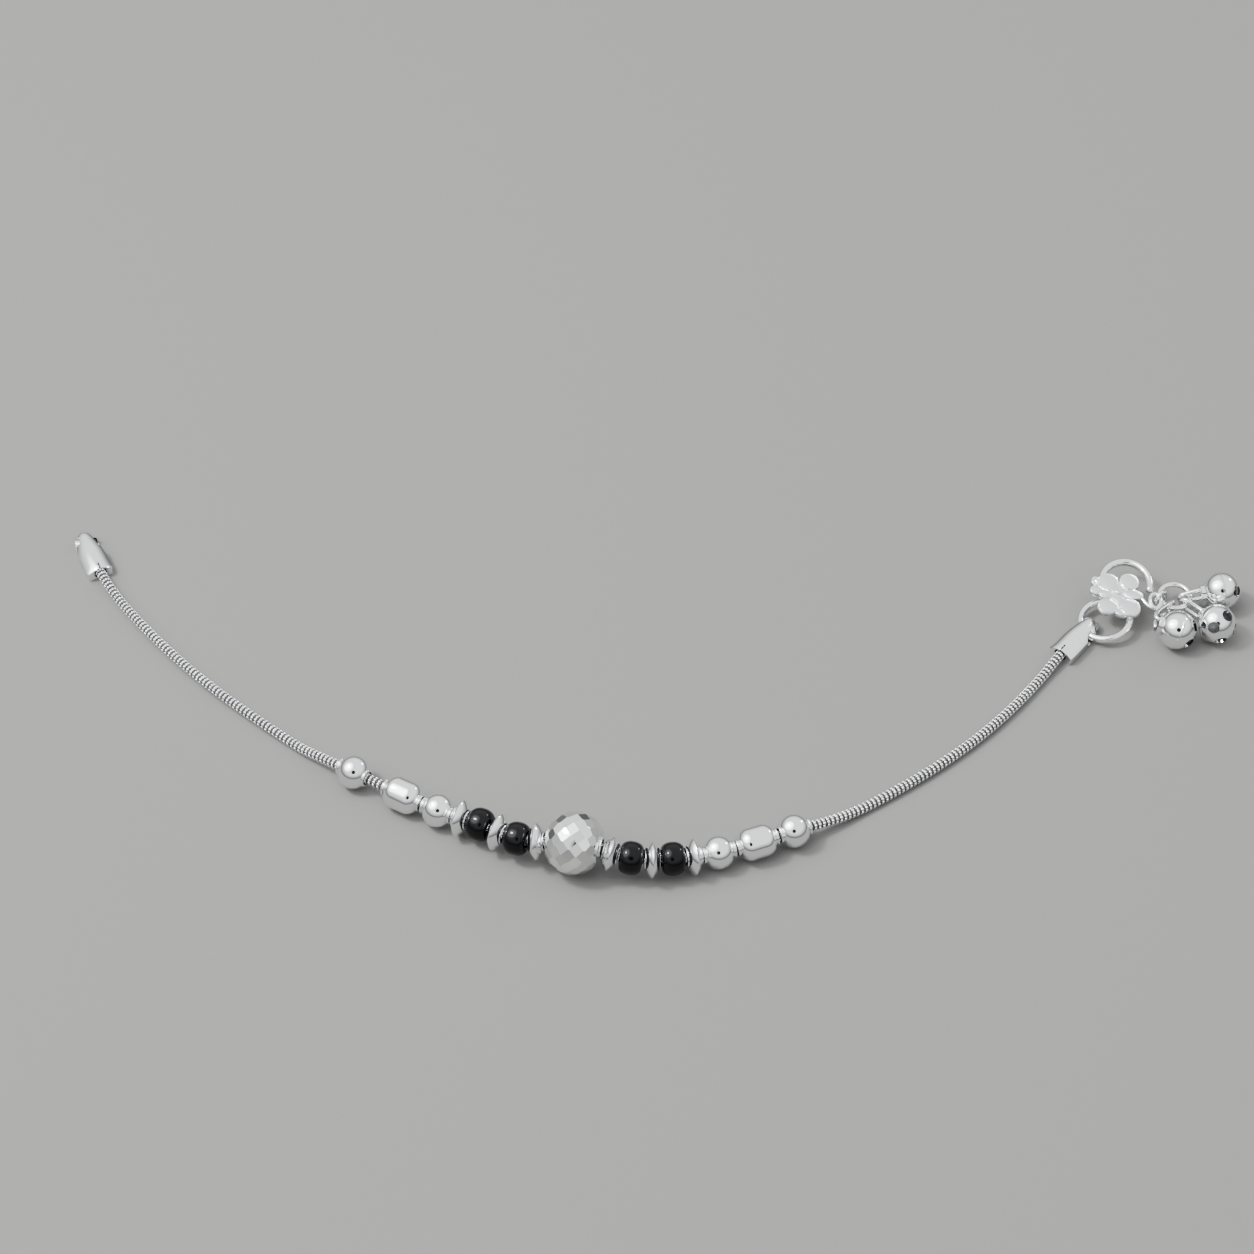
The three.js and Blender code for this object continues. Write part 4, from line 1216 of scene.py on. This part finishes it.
def stem_wire():
    last = len(STEM_BENDS) - 1
    spots = []
    for bend, (x, y) in enumerate(STEM_BENDS):
        share = bend / last
        spots.append(Vector((x, y, FLOWER_THICKNESS / 2 * (1 - share) + EYE_HEIGHT * share)))
    return swept(smooth_line(spots, samples=8), STEM_WIRE)


def eye_wire():
    shift = Vector((*EYE_CENTRE, EYE_HEIGHT))
    path = [spot + shift for spot in oval_path(*EYE_RADII, steps=48)]
    return swept(path, STEM_WIRE, closed=True)


def hairpin(half_width, foot):
    """A U of points in the XY plane, with legs that start on y = foot and a bend round the origin."""
    leg = [Vector((half_width, foot * step / LEG_STEPS, 0)) for step in range(LEG_STEPS, 0, -1)]
    bend = [on_circle(half_width, math.pi * step / BEND_STEPS) for step in range(BEND_STEPS + 1)]
    return leg + bend + [Vector((-spot.x, spot.y, 0)) for spot in reversed(leg)]


def staple_wire(wire_spot, heading):
    half = RING_WIRE + PLAY + STAPLE_WIRE
    turn = Matrix.Rotation(heading, 4, "Z") @ Matrix.Rotation(-math.pi / 2, 4, "X")
    place = Matrix.Translation(wire_spot) @ turn
    path = [place @ spot for spot in hairpin(half, wire_spot.z - STAPLE_FOOT)]
    return swept(path, STAPLE_WIRE)


flower_height = (CAP_EYE_HEIGHT + RING_WIRE + PLAY + FLOWER_LIFT
                 + 2 * RING_RADIUS * math.sin(RING_TILT))
clasp_matrix = Matrix.Translation(Vector((
    ring_middle.x + CLASP_FROM_RING[0] * MM,
    ring_middle.y + CLASP_FROM_RING[1] * MM,
    flower_height * MM + frame_shift.z * MM,
))) @ Matrix.Rotation(CLASP_TILT, 4, "X")
wire_spot = clasp_matrix.inverted() @ ring_far_wire / MM


def make_clasp():
    plate_points, plate_faces, polished = flower_plate()
    wires = [hook_wire(), stem_wire(), eye_wire(), staple_wire(wire_spot, ring_angle)]
    parts = [(plate_points, plate_faces)] + wires
    clasp = new_piece("flower_clasp_fine", *gathered(parts, clasp_matrix), smooth=False)
    outward(clasp)
    soften(clasp.data, math.radians(50))
    finish_piece(clasp, "flower_clasp", "satin_silver", satin_silver, polished_silver)
    for face in clasp.data.polygons:
        is_wire = face.index >= len(plate_faces)
        face.material_index = 1 if is_wire or polished[face.index] else 0
    print("clasp faces:", len(clasp.data.polygons))


make_clasp()

# %% [markdown]
# The small link stands upright between the clasp's eye and the jump ring, round both wires. Its
# height and length follow from the two wires it has to hold, with a little play.

# %% Small link
LINK_WIRE = 0.325
LINK_SEAT_DEG = 203
LINK_EXTRA_HEIGHT = 0.15
LINK_SLANT_SHARE = 0.8
UP = Vector((0, 0, 1))


def seat_on_jump_ring(degrees):
    return jump_matrix @ (on_circle(JUMP_RADIUS, math.radians(degrees)) * MM) / MM


def upright_frame(direction):
    """A turn whose Y runs along a direction and whose XY plane stands upright."""
    side = UP.cross(direction).normalized()
    above = direction.cross(side)
    return Matrix((above, direction, side)).transposed().to_4x4()


def make_link():
    eye = clasp_matrix @ (Vector((*EYE_CENTRE, EYE_HEIGHT)) * MM) / MM
    seat = seat_on_jump_ring(LINK_SEAT_DEG)
    level = Vector((seat.x - eye.x, seat.y - eye.y, 0))
    half_wide = (level.length + JUMP_WIRE / LINK_SLANT_SHARE + PLAY + LINK_WIRE) / 2
    high = eye.z + STEM_WIRE + PLAY + LINK_WIRE
    low = seat.z - JUMP_WIRE - PLAY - LINK_WIRE
    half_high = (high - low) / 2 + LINK_EXTRA_HEIGHT
    heading = level.normalized()
    middle = Vector((eye.x, eye.y, (high + low) / 2)) + heading * half_wide
    matrix = Matrix.Translation(middle * MM) @ upright_frame(heading)
    make_ring("small_link", half_high, half_wide, LINK_WIRE, matrix, steps=48)


make_link()

# %% [markdown]
# Each bell is a thin hollow ball in two halves, joined by a proud seam, with a wire bail at its
# pole and holes in the lower half to let the sound out. Boolean cuts are right here: the ball is
# hollowed by a smaller ball, then drilled, which gives the holes their true wall thickness. The
# inside is a darker, rougher silver, so the holes read as holes.

# %% Bells
BELL_RADIUS = 3.7
BELL_WALL = 0.5
BELL_INSIDE = BELL_RADIUS - BELL_WALL
INSIDE_MARGIN = 0.03
BELL_SIDES = 72
POLE_GAP_DEG = 2
SEAM_GAP_DEG = 3
BELL_SEAM = 0.14
SEAM_SHOWS = 0.08
SEAM_SHOWS_WIDTH = 0.28
SEAM_EASE = 0.06
SEAM_EASE_DEEP = 0.04
BELL_HOLE = 1.15
BELL_HOLE_POLAR = math.radians(45)
BELL_HOLES = 4
WASHER_RADIUS = 1.75
WASHER_THICKNESS = 0.45
WASHER_EASE = 0.1
WASHER_HOLE = 0.05
BAIL_WIRE = 0.4
BAIL_CLEAR = 1.15
BAIL_LEAD_SHARE = 0.33
BAIL_STEPS = 24
BAIL_TURN_STEPS = 16
BELL_REACH = 3.2
# Each bell: its direction from the jump ring or the bell before it, in degrees, and the gap to it.
BELLS = [
    ("bell_front", -84, 0),
    ("bell_right", 12, 0.4),
    ("bell_back", 78, 1.35),
]
# Where on the jump ring a bail sits, in degrees, and how far it reaches past the ring's wire line.
BAIL_SEATS = {
    "bell_front": (246, 0.1),
    "bell_right": (315, 0.1),
    "bell_back": (358, 1.0),
}
# Where a bell's lower pole points, round Z and upwards, and its turn about its axis, in degrees.
HOLES_FACE = {
    "bell_front": (-10, -17, 3),
    "bell_right": (-61, 22, 25),
    "bell_back": (7, 5, 38),
}


def bezier(corners, share):
    """A point of a cubic Bezier curve, by repeated halving of its corners."""
    while len(corners) > 1:
        corners = [before.lerp(after, share) for before, after in zip(corners, corners[1:])]
    return corners[0]


def bail_path(pole, outwards, seat, overrun):
    """From the bell's pole over to a seat on the ring's wire and back, one leg above the other."""
    lead = (seat - pole).length * BAIL_LEAD_SHARE
    bend = pole + outwards * lead
    approach = (seat - bend).normalized()
    corners = [pole, bend, seat - approach * lead, seat + approach * overrun]
    middle = [bezier(corners, step / BAIL_STEPS) for step in range(BAIL_STEPS + 1)]
    upper, lower = [], []
    for step, spot in enumerate(middle):
        tangent = (middle[min(step + 1, BAIL_STEPS)] - middle[max(step - 1, 0)]).normalized()
        above = (UP - tangent * UP.dot(tangent)).normalized()
        upper.append(spot + above * BAIL_CLEAR)
        lower.append(spot - above * BAIL_CLEAR)
    turn = []
    for step in range(1, BAIL_TURN_STEPS):
        angle = math.pi * step / BAIL_TURN_STEPS
        turn.append(middle[-1] + BAIL_CLEAR * (math.cos(angle) * above + math.sin(angle) * tangent))
    return upper + turn + lower[::-1]


def shell_arc(start_deg, end_deg, steps):
    angles = [math.radians(start_deg + (end_deg - start_deg) * step / steps) for step in range(steps + 1)]
    return [(BELL_RADIUS * math.cos(angle), BELL_RADIUS * math.sin(angle)) for angle in angles]


def bell_profile():
    """From the bottom pole to the top pole: shell, proud seam, shell, washer."""
    half = SEAM_SHOWS_WIDTH / 2
    edge = BELL_RADIUS + SEAM_SHOWS
    side = [(edge - SEAM_EASE_DEEP, half), (edge, half - SEAM_EASE)]
    seam = [(radius, -along) for radius, along in side] + side[::-1]
    washer_deg = math.degrees(math.acos(WASHER_RADIUS / BELL_RADIUS))
    top = BELL_RADIUS + WASHER_THICKNESS
    washer = [
        (WASHER_RADIUS, top - WASHER_EASE), (WASHER_RADIUS - WASHER_EASE, top), (WASHER_HOLE, top)]
    lower = shell_arc(POLE_GAP_DEG - 90, -SEAM_GAP_DEG, 24)
    return lower + seam + shell_arc(SEAM_GAP_DEG, washer_deg, 20) + washer


def bell_tools(local, hole_turn):
    """The ball that hollows a bell, and the rods that drill its holes."""
    bpy.ops.mesh.primitive_uv_sphere_add(segments=48, ring_count=24, radius=BELL_INSIDE * MM)
    inside = bpy.context.object
    inside.data.transform(local)
    tools = [inside]
    for hole in range(BELL_HOLES):
        turn = Matrix.Rotation(2 * math.pi * hole / BELL_HOLES + hole_turn, 4, "Y")
        tip = Matrix.Rotation(BELL_HOLE_POLAR, 4, "X")
        drill = local @ turn @ tip @ shifted(0, -BELL_RADIUS, 0) @ Matrix.Rotation(math.pi / 2, 4, "X")
        tools.append(rod_tool(BELL_HOLE, BELL_RADIUS, drill))
    return tools


def make_bell(node, place):
    seat_deg, overrun = BAIL_SEATS[node]
    face, rise, hole_turn = [math.radians(degrees) for degrees in HOLES_FACE[node]]
    outwards = -on_circle(math.cos(rise), face, math.sin(rise))
    local = Matrix.Translation(place * MM) @ upright_frame(outwards)
    axis_up = local @ Matrix.Rotation(-math.pi / 2, 4, "X")
    bell = new_piece(node + "_fine", *turned(bell_profile(), BELL_SIDES, axis_up, closed=False))
    outward(bell)
    carve(bell, bell_tools(local, hole_turn))
    path = bail_path(place + outwards * BELL_RADIUS, outwards, seat_on_jump_ring(seat_deg), overrun)
    wire = new_piece(node + "_bail", *gathered([swept(path, BAIL_WIRE)]))
    outward(wire)
    joined = bmesh.new()
    joined.from_mesh(bell.data)
    joined.from_mesh(wire.data)
    joined.to_mesh(bell.data)
    joined.free()
    bpy.data.objects.remove(wire)
    soften(bell.data)
    finish_piece(bell, node, "polished_silver", polished_silver, bell_inside)
    for face in bell.data.polygons:
        is_inside = (face.center - place * MM).length < (BELL_INSIDE + INSIDE_MARGIN) * MM
        face.material_index = 1 if is_inside else 0


def make_bells():
    before = seat_on_jump_ring(BAIL_SEATS["bell_front"][0])
    step = BELL_RADIUS + BELL_REACH
    for order, (node, lie_deg, apart) in enumerate(BELLS):
        if order:
            step = 2 * BELL_RADIUS + apart
        place = before + on_circle(step, math.radians(lie_deg))
        place.z = BELL_RADIUS + BELL_SEAM + frame_shift.z
        make_bell(node, place)
        before = place


make_bells()

# %% [markdown]
# Last, the view layer is updated, so that the scene is up to date.

# %% Finish
bpy.context.view_layer.update()
